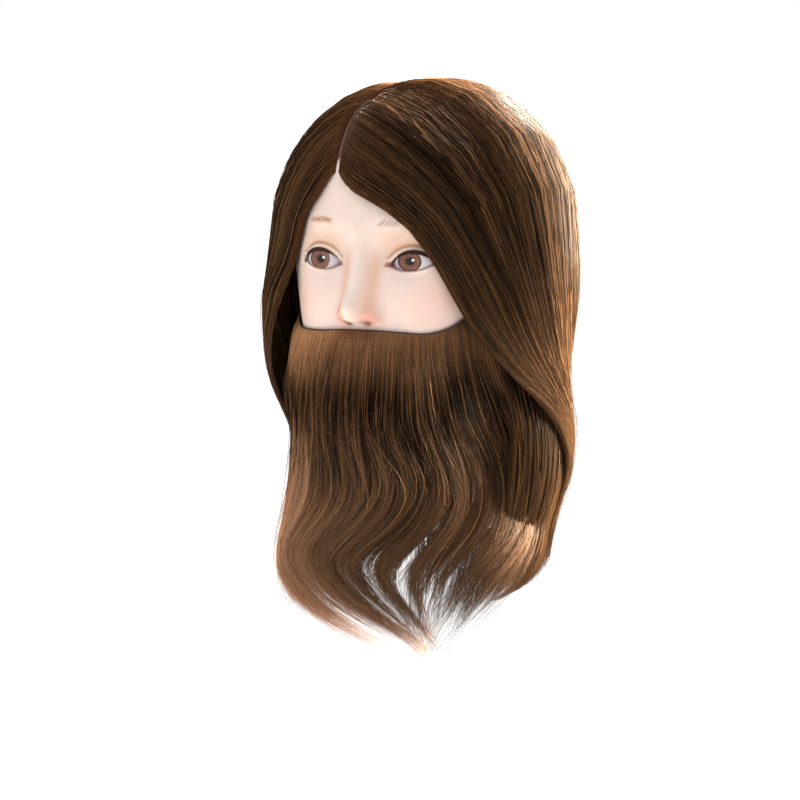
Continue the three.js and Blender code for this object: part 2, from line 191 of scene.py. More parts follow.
# Sockets, temples, cheeks and the folds beside the nose: how far each stands out, then its centre and
# width across the face, and its centre and width up it.
FACE_FORMS = [
    [-6.4, 19, 11, 174.5, 12.5],
    [-3.2, 33, 11, 177.5, 12],
    [1.6, 52, 8, 176, 14],
    [3.2, 40, 15, 148, 15],
    [1.3, 24, 9, 150, 12],
    [-0.8, 22, 5, 134, 9],
]


def face_relief(x, z, y):
    """How far the face stands forward of the featureless head at y, in millimetres."""
    side = np.abs(x)
    out = nose_relief(x, side, z)
    out += 2.4 * bump(side, 24, 20) * bump(z, 197, 9)
    out += 1.4 * bump(x, 0, 24) * bump(z, 224, 20)
    for amount, *place in FACE_FORMS:
        out += amount * spot(side, *place[:2], z, *place[2:])
    # mouth and chin
    bow = 112.5 + 1.2 * bump(side, 5, 3)
    out += 2.9 * spot(x, 0, 16, z, bow, 3.3)
    out += 3.0 * spot(x, 0, 14, z, 104.2, 3.6)
    out -= 1.6 * np.exp(-((x / 22) ** 4)) * bump(z, 108.4, 1.0)
    out -= 2.0 * spot(x, 0, 3.2, z, 122, 6)
    out -= 1.5 * spot(x, 0, 15, z, 96.5, 3.5)
    out += 2.4 * spot(x, 0, 15, z, 85, 8)
    return out + lid_relief(side, z, y - out)


def nose_relief(x, side, z):
    """Bridge, tip, wings, the crease round each wing and the nostrils."""
    ridge_half = mix(4.6, 8.2, smooth(178, 146, z)) + 3.0 * smooth(184, 200, z)
    bridge = mix(3.6, 13.0, smooth(190, 146, z)) * smooth(216, 186, z)
    out = bridge * np.exp(-np.abs(x / ridge_half) ** 2.2) * smooth(132.4, 137.5, z)
    out += 9.5 * spot(x, 0, 7.4, z, 145, 7.5) * smooth(131.5, 138, z)
    out += 6.4 * spot(side, 10.8, 4.3, z, 140.5, 5.0) * smooth(130.5, 135.5, z)
    out -= 1.3 * spot(side, 15.9, 1.6, z, 141, 6)
    return out - 6.0 * spot(side, 6.0, 2.7, z, 135.0, 1.6)


def lid_relief(side, z, surface):
    """The lids wrap the eyeball, with a crease above and a soft fold below."""
    ball = eye_front(side, z, LID_THICK)
    softness = 1.2
    share = np.clip(0.5 + 0.5 * (surface - ball) / softness, 0, 1)
    joined = mix(surface, ball, share) - softness * share * (1 - share)
    across = (side - LID_CENTRE) / LID_HALF_WIDTH
    upper, lower = lid_edges(np.clip(across, -1, 1))
    near = smooth(1.3, 0.95, np.abs(across))
    dz = z - EYE_HEIGHT
    crease = 1.1 * bump(dz, upper + 4.6, 0.8) * near
    fold = 0.4 * bump(dz, lower - 4.2, 1.6) * smooth(1.1, 0.2, np.abs(across + 0.2))
    return surface - joined - crease - fold


# ---------------------------------------------------------------- eyes

EYE_HEIGHT = 173.0
EYE_CENTRE = np.array([29.4, -81.0])  # x and y; the eye is an oval shell that follows the face's curve
EYE_TURN = np.radians(14)
EYE_RADIUS, EYE_OVAL = 12.5, 1.24
EYE_GAZE = {1: np.radians(-11.0), -1: 0.0}  # each iris's turn towards the temple, below 0 to the nose
IRIS_RADIUS = 6.3
LID_THICK = 1.2
LID_CENTRE, LID_HALF_WIDTH = 30.7, 14.1


def lid_edges(across):
    """Heights of the upper and lower lid edges over the eye's centre; across is 1 at the temple."""
    corner = mix(-2.7, -1.0, (across + 1) / 2)
    upper = corner + 7.1 * np.clip(1 - np.abs(across) ** 2.2, 0, 1) ** 0.85
    lower = corner - 4.3 * np.clip(1 - np.abs(across) ** 2.2, 0, 1) ** 0.9
    return upper, lower


def eye_front(side, z, over=0.0):
    """y of the oval eyeball's front, grown by over; far behind the face where the ball has ended."""
    c, s = np.cos(EYE_TURN), np.sin(EYE_TURN)
    dx = side - EYE_CENTRE[0]
    wide, deep = EYE_RADIUS * EYE_OVAL + over, EYE_RADIUS + over
    # in the eye's own axes a point is dx along x and dy along y; solve the ellipse for dy
    a = s * s / wide**2 + c * c / deep**2
    b = 2 * dx * s * c * (1 / wide**2 - 1 / deep**2)
    k = dx * dx * (c * c / wide**2 + s * s / deep**2) + ((z - EYE_HEIGHT) / deep) ** 2 - 1
    room = b * b - 4 * a * k
    dy = (-b - np.sqrt(np.clip(room, 0, None))) / (2 * a)
    return np.where(room > 0, EYE_CENTRE[1] + dy, 500.0)


def eye_place(points, side):
    """Points of an eye piece, made round +Y out of the face with z up, put in the head."""
    gaze = EYE_GAZE[side]
    turned_x = points[..., 0] * np.cos(gaze) + points[..., 1] * np.sin(gaze)
    turned_y = points[..., 1] * np.cos(gaze) - points[..., 0] * np.sin(gaze)
    points = np.stack([turned_x, turned_y, points[..., 2]], axis=-1)
    c, s = np.cos(EYE_TURN), np.sin(EYE_TURN)
    across, ahead, up = points[..., 0] * EYE_OVAL, points[..., 1], points[..., 2]
    x = EYE_CENTRE[0] + across * c + ahead * s
    y = EYE_CENTRE[1] + across * s - ahead * c
    return np.stack([side * x, y, EYE_HEIGHT + up], axis=-1)


def lathe(profile, segments):
    """Closed turned surface round the y axis: profile rows are radius and y, the ends on the axis."""
    profile = np.asarray(profile, float)
    turns = np.arange(segments) * 2 * np.pi / segments
    ring = profile[1:-1]
    x = ring[:, :1] * np.cos(turns)
    z = ring[:, :1] * np.sin(turns)
    y = np.repeat(ring[:, 1:], segments, axis=1)
    points = np.stack([x, y, z], axis=-1).reshape(-1, 3)
    points = np.vstack([points, [0, profile[0, 1], 0], [0, profile[-1, 1], 0]])
    return points, tube_faces(len(ring), segments, ends=(len(points) - 2, len(points) - 1))


def tube_faces(rings, segments, ends=None):
    faces = []
    for j in range(rings - 1):
        for i in range(segments):
            k = (i + 1) % segments
            faces.append((j * segments + i, (j + 1) * segments + i, (j + 1) * segments + k, j * segments + k))
    if ends:
        last = (rings - 1) * segments
        for i in range(segments):
            k = (i + 1) % segments
            faces.append((ends[0], i, k))
            faces.append((ends[1], last + k, last + i))
    return faces


# ---------------------------------------------------------------- head shell


def head_angles():
    """Degrees round the head, closest together over the eyes."""
    spans = [(0, 10, 14), (10, 41, 68), (41, 66, 20), (66, 180, 32)]
    half = np.concatenate([np.linspace(a, b, n, endpoint=False) for a, b, n in spans])
    return np.radians(np.concatenate([-half[::-1][:-1], half, [180.0]]))


def head_levels():
    spans = [
        (0, 3, 12), (3, 4, 8), (4, 5, 12), (5, 6, 18), (6, 7, 24), (7, 8, 28), (8, 8.72, 30),
        (8.72, 9, 18), (9, 9.15, 48), (9.15, 9.5, 32), (9.5, 9.985, 22),
    ]
    return np.concatenate([*[np.linspace(a, b, n, endpoint=False) for a, b, n in spans], [9.985]])


def eye_opening(points):
    """Which points lie between the lids, and each point's nearest place on the lids' edge."""
    side, z = np.abs(points[:, 0]), points[:, 2]
    along = np.sin(np.linspace(-np.pi / 2, np.pi / 2, 121))
    upper, lower = lid_edges(along)
    x = LID_CENTRE + along * LID_HALF_WIDTH
    outline = np.concatenate([np.stack([x, upper], 1), np.stack([x, lower], 1)[1:-1]])
    outline[:, 1] += EYE_HEIGHT
    across = (side - LID_CENTRE) / LID_HALF_WIDTH
    up, low = lid_edges(np.clip(across, -1, 1))
    dz = z - EYE_HEIGHT
    inside = (np.abs(across) < 1) & (dz < up) & (dz > low) & (points[:, 1] < -40)
    nearest = outline.copy()[np.zeros(len(points), int)]
    close = (np.abs(across) < 1.4) & (np.abs(dz) < 14) & (points[:, 1] < -40)
    gaps = np.hypot(side[close, None] - outline[None, :, 0], z[close, None] - outline[None, :, 1])
    nearest[close] = outline[gaps.argmin(1)]
    return inside, nearest


def face_front(points):
    """The same points with the face's features."""
    ahead = np.clip((-points[:, 1] + SKULL_Y) / 97, 0, 1)
    moved = points.copy()
    moved[:, 1] -= face_relief(points[:, 0], points[:, 2], points[:, 1]) * smooth(0.12, 0.42, ahead)
    return moved


def face_y(x, z):
    """y of the featureless face at a place x, z seen from in front."""
    angle = np.arcsin(np.clip(x / SKULL["side"], -1, 1))
    for _ in range(12):
        level = level_at(angle, z)
        wide = table(RINGS, np.minimum(level, TOP_RING))[4]
        climb = np.sin(np.clip(level - TOP_RING, 0, 1) * np.pi / 2)
        wide = wide * (1 - climb ** SKULL["power"]) ** (1 / SKULL["power"])
        angle = np.arcsin(np.clip(x / wide, -1, 1))
    return head_points(angle, level)[..., 1]


def level_at(angle, z, depth=0.0):
    low = np.full(np.broadcast(angle, z).shape, 0.0)
    high = low + 9.99
    for _ in range(22):
        middle = (low + high) / 2
        under = head_points(angle, middle, depth)[..., 2] < z
        low = np.where(under, middle, low)
        high = np.where(under, high, middle)
    return low


def eye_pockets(points, push):
    """Points of an inside wall, pushed back where the eyeballs sit."""
    hollow = np.exp(-(((np.abs(points[..., 0]) - 29) / 19) ** 4) - ((points[..., 2] - 174) / 17) ** 4)
    points[..., 1] += push * hollow * (points[..., 1] < -40)
    return points


def foam_filling():
    """The foam that fills the shell, with pockets behind the eyes and a bore for the neck socket."""
    levels = np.concatenate([np.linspace(0.34, 9, 46), np.linspace(9.06, 9.93, 14)])
    angles = np.radians(np.linspace(-180, 180, 97)[1:])
    outer = eye_pockets(head_points(angles[None, :], levels[:, None], 5.0), 28)
    low, bore, bore_top = outer[0, 0, 2], 17.0, 94.0
    ring = np.stack([bore * np.sin(angles), -bore * np.cos(angles), 0 * angles], axis=-1)
    rings = np.concatenate([[ring + [0, 0, bore_top], ring + [0, 0, low]], outer])
    ends = np.array([[0, 0, bore_top], [0, SKULL_Y, outer[-1, :, 2].mean()]])
    points = np.vstack([rings.reshape(-1, 3), ends])
    faces = tube_faces(len(rings), len(angles), ends=(len(points) - 2, len(points) - 1))
    made = new_object("foam_filling", points, faces)
    outward(made)
    return finish_piece(made, "head", "foam", foam_material(), "foam_core")


def head_shell():
    angles, levels = head_angles(), head_levels()
    columns = len(angles)
    outer = head_points(angles[None, :], levels[:, None]).reshape(-1, 3)
    outer = face_front(outer)
    inside, nearest = eye_opening(outer)
    rows = len(levels)
    index = np.arange(rows * columns).reshape(rows, columns)
    right = np.roll(index, -1, axis=1)
    quads = np.stack([index[:-1], right[:-1], right[1:], index[1:]], axis=-1).reshape(-1, 4)
    kept = ~inside[quads].any(axis=1)
    cut = ~kept & ~inside[quads].all(axis=1)
    rim = np.unique(quads[cut])
    rim = rim[~inside[rim]]
    snapped = np.stack([np.sign(outer[rim, 0]) * nearest[rim, 0], outer[rim, 1], nearest[rim, 1]], axis=1)
    snapped[:, 1] = face_y(snapped[:, 0], snapped[:, 2])
    outer[rim] = face_front(snapped)
    inner_levels = np.concatenate([np.linspace(0, 9, 46), np.linspace(9.06, 9.97, 14)])
    inner_angles = np.radians(np.linspace(-180, 180, 97)[1:])
    inner = head_points(inner_angles[None, :], inner_levels[:, None], 4.0).reshape(-1, 3)
    inner = eye_pockets(inner, 26)
    faces = quads[kept].tolist()
    faces.append(index[-1].tolist())
    start = len(outer)
    inner_faces = tube_faces(len(inner_levels), len(inner_angles))
    faces += [tuple(start + i for i in reversed(face)) for face in inner_faces]
    top = start + (len(inner_levels) - 1) * len(inner_angles)
    faces.append([top + i for i in reversed(range(len(inner_angles)))])
    shell = new_object("head_shell_skin", np.vstack([outer, inner]), faces)
    close_edges(shell)
    colours = skin_colours(mesh_points(shell))
    paint(shell, colours)
    return finish_piece(shell, "head", "skin", skin_material(), "head_shell")


def mesh_points(obj):
    found = np.empty(len(obj.data.vertices) * 3, np.float32)
    obj.data.vertices.foreach_get("co", found)
    return found.reshape(-1, 3).astype(float) / MM


def close_edges(shell):
    """Turns the lid edges back onto the eyeballs, and bridges the wall's two loops at the neck."""
    bm = bmesh.new()
    bm.from_mesh(shell.data)
    bmesh.ops.delete(bm, geom=[v for v in bm.verts if not v.link_faces], context="VERTS")
    open_edges = [e for e in bm.edges if e.is_boundary]
    lids = [e for e in open_edges if e.verts[0].co.z > 0.15]
    neck = [e for e in open_edges if e.verts[0].co.z < 0.01]
    bmesh.ops.bridge_loops(bm, edges=neck)
    for share in (0.35, 0.65):
        grown = bmesh.ops.extrude_edge_only(bm, edges=lids)["geom"]
        lids = [e for e in grown if isinstance(e, bmesh.types.BMEdge)]
        for vert in {v for e in lids for v in e.verts}:
            x, y, z = np.array(vert.co) / MM
            side = abs(x)
            inward_x = (LID_CENTRE - side) / LID_HALF_WIDTH * 0.35
            inward_z = (EYE_HEIGHT - 1.2 - z) / 6 * 0.35
            ball = min(float(eye_front(np.float64(side + inward_x), np.float64(z + inward_z))), y + 9)
            back = mix(y, ball + 0.5, share if share < 0.5 else 1.0)
            vert.co = Vector((np.sign(x) * (side + inward_x), back, z + inward_z)) * MM
    bmesh.ops.recalc_face_normals(bm, faces=bm.faces)
    bm.to_mesh(shell.data)
    bm.free()


def ear(side):
    """A simple ear with a rolled rim and a hollow, lying under the hair."""
    turns, climbs = np.meshgrid(np.linspace(0, 2 * np.pi, 65)[:-1], np.linspace(0.02, np.pi - 0.02, 41))
    out = np.cos(climbs)
    p = np.sin(climbs) * np.cos(turns)
    q = np.sin(climbs) * np.sin(turns)
    rho = np.hypot(p, q)
    rim = 2.0 * bump(rho, 0.84, 0.13) - 4.2 * spot(p, 0.1, 0.45, q, 0.05, 0.5)
    fold = 1.5 * np.exp(-(((rho - 0.52) / 0.1) ** 2)) * (p > -0.2)
    x = out * 6.2 + np.where(out > 0, (rim + fold) * smooth(0, 0.3, out), 0)
    y = p * 15 * mix(0.78, 1.06, smooth(-1, 0.5, q))
    z = q * 30
    tilt = np.radians(12)
    y, z = y * np.cos(tilt) - z * np.sin(tilt), y * np.sin(tilt) + z * np.cos(tilt)
    points = np.stack([side * (75.5 + x), -8 + y, 150 + z], axis=-1).reshape(-1, 3)
    rows, columns = climbs.shape
    faces = tube_faces(rows, columns)
    faces.append(list(range(columns)))
    faces.append([(rows - 1) * columns + i for i in reversed(range(columns))])
    made = new_object(f"ear_{SIDE_NAME[side]}", points, faces)
    paint(made, np.tile(SKIN, (len(points), 1)))
    outward(made)
    return finish_piece(made, "head", "skin", skin_material())


# ---------------------------------------------------------------- painted face

SKIN = srgb(240, 220, 210)


def washed(colours, tone, share):
    return mix(colours, tone, np.clip(share, 0, 1)[:, None])


def skin_colours(points):
    """The factory's paint on the vinyl: blush, eye make-up, lips and the tinted scalp, with painted shade
    beside the nose, in the nostrils, round the eye sockets, in the lid creases and between the lips, and a
    painted highlight on the upper lids.
    """
    x, y, z = points.T
    side = np.abs(x)
    front = smooth(-30, -60, y)
    # painted shade down both flanks of the nose
    nose_side_shade = bump(side, 9.5, 4.0) * smooth(128, 142, z) * smooth(186, 168, z)
    washes = (
        (srgb(244, 196, 182), 0.55 * spot(side, 44, 15, z, 146, 16)),
        (srgb(228, 168, 136), 0.62 * nose_side_shade),
        (srgb(231, 166, 150), 0.75 * spot(side, 10.5, 6, z, 138, 5.5)),
        # painted shade inside the nostrils
        (srgb(168, 92, 74), 0.8 * spot(side, 6, 3.0, z, 134.6, 1.8)),
        # these two: partly eye-shadow paint, partly painted shade in the eye socket under the brow
        (srgb(214, 164, 134), 0.5 * spot(side, 22, 9, z, 183, 9)),
        (srgb(224, 184, 158), 0.5 * spot(side, 36, 15, z, 187, 5)),
    )
    colours = np.tile(SKIN, (len(points), 1))
    for tone, share in washes:
        colours = washed(colours, tone, share * front)
    colours = eye_paint(colours, side, z, front)
    lips_half = 23 * np.clip(1 - ((z - 108.4) / 9.6) ** 2, 0, 1) ** 0.5
    lips = smooth(1.4, -1.4, side - lips_half) * smooth(98.8, 100.4, z) * smooth(117.4, 115.4, z)
    colours = washed(colours, srgb(203, 116, 110), 0.85 * lips * front)
    # painted shade in the groove where the lips meet
    colours = washed(colours, srgb(120, 58, 56), 0.6 * bump(z, 108.4, 0.9) * smooth(22, 18, side) * front)
    scalp = smooth(79.5, 84, 0.768 * y + 0.64 * z)
    return washed(colours, srgb(92, 56, 38), 0.95 * scalp) * 0.77


def eye_paint(colours, side, z, front):
    across = (side - LID_CENTRE) / LID_HALF_WIDTH
    upper, lower = lid_edges(np.clip(across, -1, 1))
    dz = z - EYE_HEIGHT
    wide = smooth(1.22, 1.04, np.abs(across)) * front
    over = dz - upper
    under = lower - dz
    thick = mix(1.1, 2.3, smooth(-0.9, 0.1, across)) * smooth(1.25, 0.85, np.abs(across))
    # painted highlight along the upper lid, between the liner and the crease
    lit = smooth(0.2, 1.4, over) * smooth(5.4, 3.6, over) * smooth(1.25, 0.9, np.abs(across)) * front
    colours = washed(colours, srgb(255, 234, 216), 0.85 * lit)
    # painted shade along the lid crease
    crease = bump(over, 4.9, 0.75) * smooth(1.3, 0.9, np.abs(across)) * front
    colours = washed(colours, srgb(178, 112, 76), 0.85 * crease)
    # partly eye-shadow paint, partly painted shade above the lid crease
    haze = smooth(9, 4.9, over) * smooth(4.2, 5.2, over) * smooth(1.35, 0.8, np.abs(across)) * front
    colours = washed(colours, srgb(216, 164, 124), 0.6 * haze)
    liner = smooth(0.35, -0.25, over - thick) * smooth(-3.0, -2.0, over) * wide
    colours = washed(colours, srgb(56, 24, 22), liner * (dz > -3.4))
    thin = smooth(0.55, 0.1, under - 0.3) * smooth(-3.0, -2.0, under) * wide
    colours = washed(colours, srgb(150, 104, 92), 0.75 * thin * (under > -3))
    corner = spot(across, -1.0, 0.16, dz, -2.6, 1.6) * front
    return washed(colours, srgb(172, 104, 88), 0.8 * corner)


BROW = {
    1: dict(
        strokes=9, start=11.5, end=23, low=194.3, arch=1.6, lean=(0.5, 0.75), length=7.0,
        thick=0.15, spread=0.3, colour=srgb(140, 84, 58),
    ),
    -1: dict(
        strokes=110, start=19, end=36, low=197.6, arch=0.6, lean=(1.25, 1.6), length=5.0,
        thick=0.1, spread=1.0, colour=srgb(240, 190, 152),
    ),
}


def brow(side):
    """Fine painted strokes of one eyebrow, lying just over the skin."""
    kind = BROW[side]
    strokes = kind["strokes"]
    along = (np.arange(strokes) + rng.uniform(0.3, 0.7, strokes)) / strokes
    x0 = mix(kind["start"], kind["end"], along)
    z0 = kind["low"] + kind["arch"] * np.sin(np.pi * along**0.8) + rng.normal(0, kind["spread"], strokes)
    lean = mix(*kind["lean"], along) + rng.normal(0, 0.05, strokes)
    length = kind["length"] * rng.uniform(0.7, 1.1, strokes)
    steps = np.linspace(0, 1, 5)
    x = x0[:, None] + (np.sin(lean) * length)[:, None] * steps + 0.4 * steps[None, :] ** 2
    z = z0[:, None] + (np.cos(lean) * length)[:, None] * steps * 0.8 - 0.2 * steps[None, :] ** 2
    flat = np.stack([side * x.ravel(), face_y(side * x.ravel(), z.ravel()), z.ravel()], axis=1)
    on_skin = face_front(flat)
    on_skin[:, 1] -= 0.02
    paths = on_skin.reshape(strokes, 5, 3)
    tones = np.tile(kind["colour"], (strokes, 1)) * rng.uniform(0.88, 1.1, (strokes, 1)) * 0.8
    thick = np.full(strokes, kind["thick"])
    made = strands(f"brow_{SIDE_NAME[side]}", paths, thick, tones, tones, tones)
    return finish_piece(made, "head", "hair", painted_hair_material())


# ---------------------------------------------------------------- eye pieces


def eye_pieces(side):
    """The white ball, the printed iris in its bowl and the clear front over it."""
    label = SIDE_NAME[side]
    rim = IRIS_RADIUS + 0.15
    seat = np.sqrt(EYE_RADIUS**2 - rim**2)
    arcs = np.linspace(np.arccos(-0.35), np.arcsin(rim / EYE_RADIUS), 34)
    arc = np.stack([EYE_RADIUS * np.sin(arcs), EYE_RADIUS * np.cos(arcs)], axis=1)
    pit = seat - 1.9
    ball = [[0, arc[0, 1]], *arc.tolist(), [rim - 0.15, seat - 0.35], [rim - 0.2, pit], [0, pit]]
    points, faces = lathe(ball, 72)
    eyeball = new_object(f"eyeball_white_{label}", eye_place(points, side), faces)
    finish_piece(eyeball, "head", "eye_white", eye_white_material(), f"eyeball_{label}")

    radii = np.linspace(IRIS_RADIUS - 0.1, 0.5, 26)
    bowl = seat - 0.55 - 0.75 * (1 - (radii / IRIS_RADIUS) ** 2)
    printed = np.stack([radii, bowl], 1).tolist()
    disc = [[0, seat - 1.7], [IRIS_RADIUS - 0.1, seat - 1.7], *printed, [0, bowl[-1]]]
    points, faces = lathe(disc, 96)
    iris = new_object(f"iris_disc_{label}", eye_place(points, side), faces)
    paint(iris, iris_colours(points, side))
    finish_piece(iris, "head", "iris", iris_material(), f"iris_{label}")

    climb = np.linspace(0, 1, 16) * np.pi / 2
    dome = np.stack([(IRIS_RADIUS + 0.05) * np.cos(climb), seat - 0.2 + 2.9 * np.sin(climb)], 1)
    under = np.stack([radii, bowl + 0.12], 1)[:-1]
    lens = [[0, dome[-1, 1]], *dome[::-1][1:].tolist(), *under.tolist(), [0, bowl[-1] + 0.12]]
    points, faces = lathe(lens, 72)
    cornea = new_object(f"cornea_dome_{label}", eye_place(points, side), faces)
    cornea.visible_shadow = False
    finish_piece(cornea, "head", "cornea", cornea_material(), f"cornea_{label}")
    for obj in (eyeball, iris, cornea):
        outward(obj)


def iris_colours(points, side):
    """Brown iris with fine radial fibres, a dark ring, a soft-edged pupil, a top darkened as painted shade
    from the lid, and a white painted highlight for the cornea's glint.
    """
    radius = np.hypot(points[:, 0], points[:, 2]) / IRIS_RADIUS
    turn = np.arctan2(points[:, 2], points[:, 0])
    fibres = 0.5 + 0.22 * np.sin(turn * 37 + 3 * radius) + 0.16 * np.sin(turn * 59 + 1)
    fibres += 0.12 * np.sin(turn * 23)
    colours = np.tile(srgb(118, 76, 56), (len(points), 1))
    colours = washed(colours, srgb(158, 108, 82), 0.6 * fibres * bump(radius, 0.6, 0.26))
    colours = washed(colours, srgb(92, 52, 38), 0.7 * bump(radius, 0.36, 0.13))
    # painted shade: the iris darkens towards its top, as in the upper lid's shadow
    colours = washed(colours, srgb(84, 56, 44), 0.6 * smooth(-1, 5.5, points[:, 2]))
    colours = washed(colours, srgb(44, 22, 18), smooth(0.8, 0.95, radius))
    colours = washed(colours, srgb(10, 4, 4), smooth(0.46, 0.24, radius))
    # painted highlight: a white dot beside the pupil stands in for the light's reflection on the cornea
    painted_glint = np.hypot(points[:, 0] - side * 1.5, points[:, 2] - 0.8)
    return washed(colours, np.ones(3), smooth(0.95, 0.6, painted_glint))


# ---------------------------------------------------------------- strands


ROOT_THIN, TIP_THIN = 0.55, 0.25


def strands(name, paths, radius, roots, middles, tips, root_end=0.16):
    """Closed three-sided fibres along paths of shape (count, steps, 3), coloured root, middle and tip."""
    count, steps, _ = paths.shape
    tangent = unit(np.gradient(paths, axis=1) + 1e-9)
    outward_way = paths - np.array([0, SKULL_Y, 130.0])
    outward_way[..., 2] *= 0.2
    across = unit(np.cross(tangent, outward_way) + 1e-9)
    up = np.cross(across, tangent)
    s = np.linspace(0, 1, steps)
    profile = np.minimum(mix(ROOT_THIN, 1, smooth(0, 0.15, s)), mix(1, TIP_THIN, smooth(0.6, 1, s)))
    size = radius[:, None] * profile[None, :]
    turns = np.radians([90, 210, 330])
    ring = [paths + size[..., None] * (np.cos(t) * across + np.sin(t) * up) for t in turns]
    points = np.stack(ring, axis=2).reshape(-1, 3)
    base = (np.arange(count) * steps * 3)[:, None, None, None]
    step = (np.arange(steps - 1) * 3)[None, :, None, None]
    corner = np.array([[0, 1, 4, 3], [1, 2, 5, 4], [2, 0, 3, 5]])[None, None]
    quads = (base + step + corner).reshape(-1, 4)
    first = np.arange(count)[:, None] * steps * 3
    caps = np.concatenate([first + np.array([2, 1, 0]), first + (steps - 1) * 3 + np.array([0, 1, 2])])
    mesh = bpy.data.meshes.new(name)
    mesh.vertices.add(len(points))
    mesh.vertices.foreach_set("co", (points * MM).astype(np.float32).ravel())
    corners = np.concatenate([quads.ravel(), caps.ravel()]).astype(np.int32)
    mesh.loops.add(len(corners))
    mesh.loops.foreach_set("vertex_index", corners)
    mesh.polygons.add(len(quads) + len(caps))
    starts = np.concatenate([np.arange(len(quads)) * 4, len(quads) * 4 + np.arange(len(caps)) * 3])
    mesh.polygons.foreach_set("loop_start", starts.astype(np.int32))
    mesh.update(calc_edges=True)
    mesh.polygons.foreach_set("use_smooth", np.ones(len(mesh.polygons), bool))
    made = linked(name, mesh)
    tone = mix(roots[:, None, :], middles[:, None, :], smooth(0, root_end, s)[None, :, None])
    tone = mix(tone, tips[:, None, :], smooth(0.35, 1, s)[None, :, None])
    paint(made, np.repeat(tone.reshape(-1, 3), 3, axis=0))
    strand_map(mesh, count, steps, quads, caps)
    return made


def strand_map(mesh, count, steps, quads, caps):
    """A texture place for each fibre: its own cell in a grid, root to tip."""
    across_cells = int(np.ceil(np.sqrt(count * 4)))
    down_cells = int(np.ceil(count / across_cells))
    vertex = np.arange(count * steps * 3)
    fibre, rest = np.divmod(vertex, steps * 3)
    along, turn = np.divmod(rest, 3)
    u = (fibre % across_cells + 0.2 + 0.3 * turn) / across_cells
    v = (fibre // across_cells + 0.05 + 0.9 * along / (steps - 1)) / down_cells
    layer = mesh.uv_layers.new(name="OFBake")
    corners = np.concatenate([quads.ravel(), caps.ravel()])
    layer.data.foreach_set("uv", np.stack([u[corners], v[corners]], axis=1).astype(np.float32).ravel())


def even_paths(paths, rounds, first=1):
    """Paths smoothed from a step onwards."""
    for _ in range(rounds):
        middle = 0.25 * paths[:, first - 1 : -2] + 0.5 * paths[:, first:-1] + 0.25 * paths[:, first + 1 :]
        paths[:, first:-1] = middle
    return paths


class Locks:
    """Groups that strands are drawn into: each strand's place is pulled to the middle of its lock."""

    def __init__(self, width, seed):
        self.width = width
        self.cells = np.random.default_rng(seed).random((4096, 4))

    def of(self, place):
        cell = np.floor(place / self.width).astype(int)
        values = self.cells[cell % len(self.cells)]
        middle = (cell + 0.5 + 0.5 * (values[..., 0] - 0.5)) * self.width
        return middle, values


# ---------------------------------------------------------------- hair on the head

PART_FRONT = np.array([-20.5, -93.0, 229.0])
CROWN = np.array([-10.0, 20.0, 279.0])
FACE_ANGLE = {1: 31.0, -1: 37.5}
HANGING = [
    [-80, 34, 40, 50, 40],
    [-54, 42, 52, 60, 50],
    [-40, 67, 72, 82, 75],
    [0, 83, 82, 92, 86],
    [35, 96, 87, 97, 95],
    [60, 99, 91, 100, 97],
    [80, 95, 97, 102, 95],
    [105, 93, 100, 105, 99],
    [135, 98, 101, 111, 107],
    [EQUATOR, 99.5, 99.5, 112, 110],
]
FACE_EDGE = {
    1: [[-80, 94], [-40, 96], [50, 101], [80, 80], [100, 60], [120, 48], [137, 40], [EQUATOR, 31]],
    -1: [[-80, 90], [-40, 92], [52, 88], [80, 78], [100, 67], [120, 52], [137, 44], [EQUATOR, 37.5]],
}
# The edge of the hair over the forehead, from the parting down to eye height, led by how far down it is.
EDGE_SWEEP = {
    1: [
        [0, -20.0, -93, 229], [0.3, -5, -102, 216.5], [0.55, 22, -104, 203], [0.82, 43, -97, 181.7],
        [1, 50.5, -91, EQUATOR],
    ],
    -1: [[0, -21.0, -93, 229], [0.3, -31.5, -92, 213], [0.62, -44, -87, 196], [1, -54.5, -78, EQUATOR]],
}
FACE_HAIR_REACH, FACE_HAIR_THICK = {1: 96.0, -1: 101.5}, 3.2
HAIR_TIPS = {
    1: [[0, 50], [0.1, 20], [0.25, -14], [0.5, -34], [0.75, -46], [1, -50]],
    -1: [[0, 52], [0.2, 34], [0.45, 0], [0.7, -30], [1, -48]],
}
SKULL_CENTRE = np.array([0, SKULL_Y, EQUATOR])


def dome_reach(dome, way):
    front = np.where(way[..., 1] < 0, dome["front"], dome["back"])
    level = np.hypot(way[..., 0] / dome["side"], way[..., 1] / front) ** dome["power"]
    total = level + (np.maximum(way[..., 2], 0) / dome["height"]) ** dome["power"]
    return total ** (-1 / dome["power"])


def plain_way(side, u, v):
    """Straight sweep from the parting to eye height, as directions from the skull's centre."""
    along = np.clip(u / 0.45, 0, 1)[..., None]
    start = unit(mix(PART_FRONT, CROWN, along) - SKULL_CENTRE)
    start[..., 0] += side * mix(0.004, -0.010, smooth(0.05, 0.28, u))
    angle = side * np.radians(mix(FACE_ANGLE[side], 180, u))
    hang = np.stack([np.sin(angle), -np.cos(angle), 0 * angle], axis=-1)
    return unit(mix(start, hang, v[..., None]))


def cap_points(side, u, v, w):
    """Hair on the scalp: u from the face round to the back, v from the parting down, w from outside in."""
    edge = unit(np.stack(table(EDGE_SWEEP[side], v), axis=-1) - SKULL_CENTRE)
    sway = (edge - plain_way(side, 0 * u, v)) * smooth(0.5, 0.0, u)[..., None]
    way = unit(plain_way(side, u, v) + sway)
    scalp = dome_reach(SKULL, way) + 1.5
    full = mix(0.16, 1, smooth(0, 0.3, u)) * mix(0.3, 1, smooth(0, 0.3, v))
    top = mix(scalp + mix(1.2, 2.6, smooth(0, 0.15, v)), dome_reach(HAIR_DOME[side], way), full)
    under = scalp + 0.4 + 7 * smooth(0.75, 1, v) * smooth(0.1, 0.4, u)
    return SKULL_CENTRE + way * mix(top, under, w)[..., None]


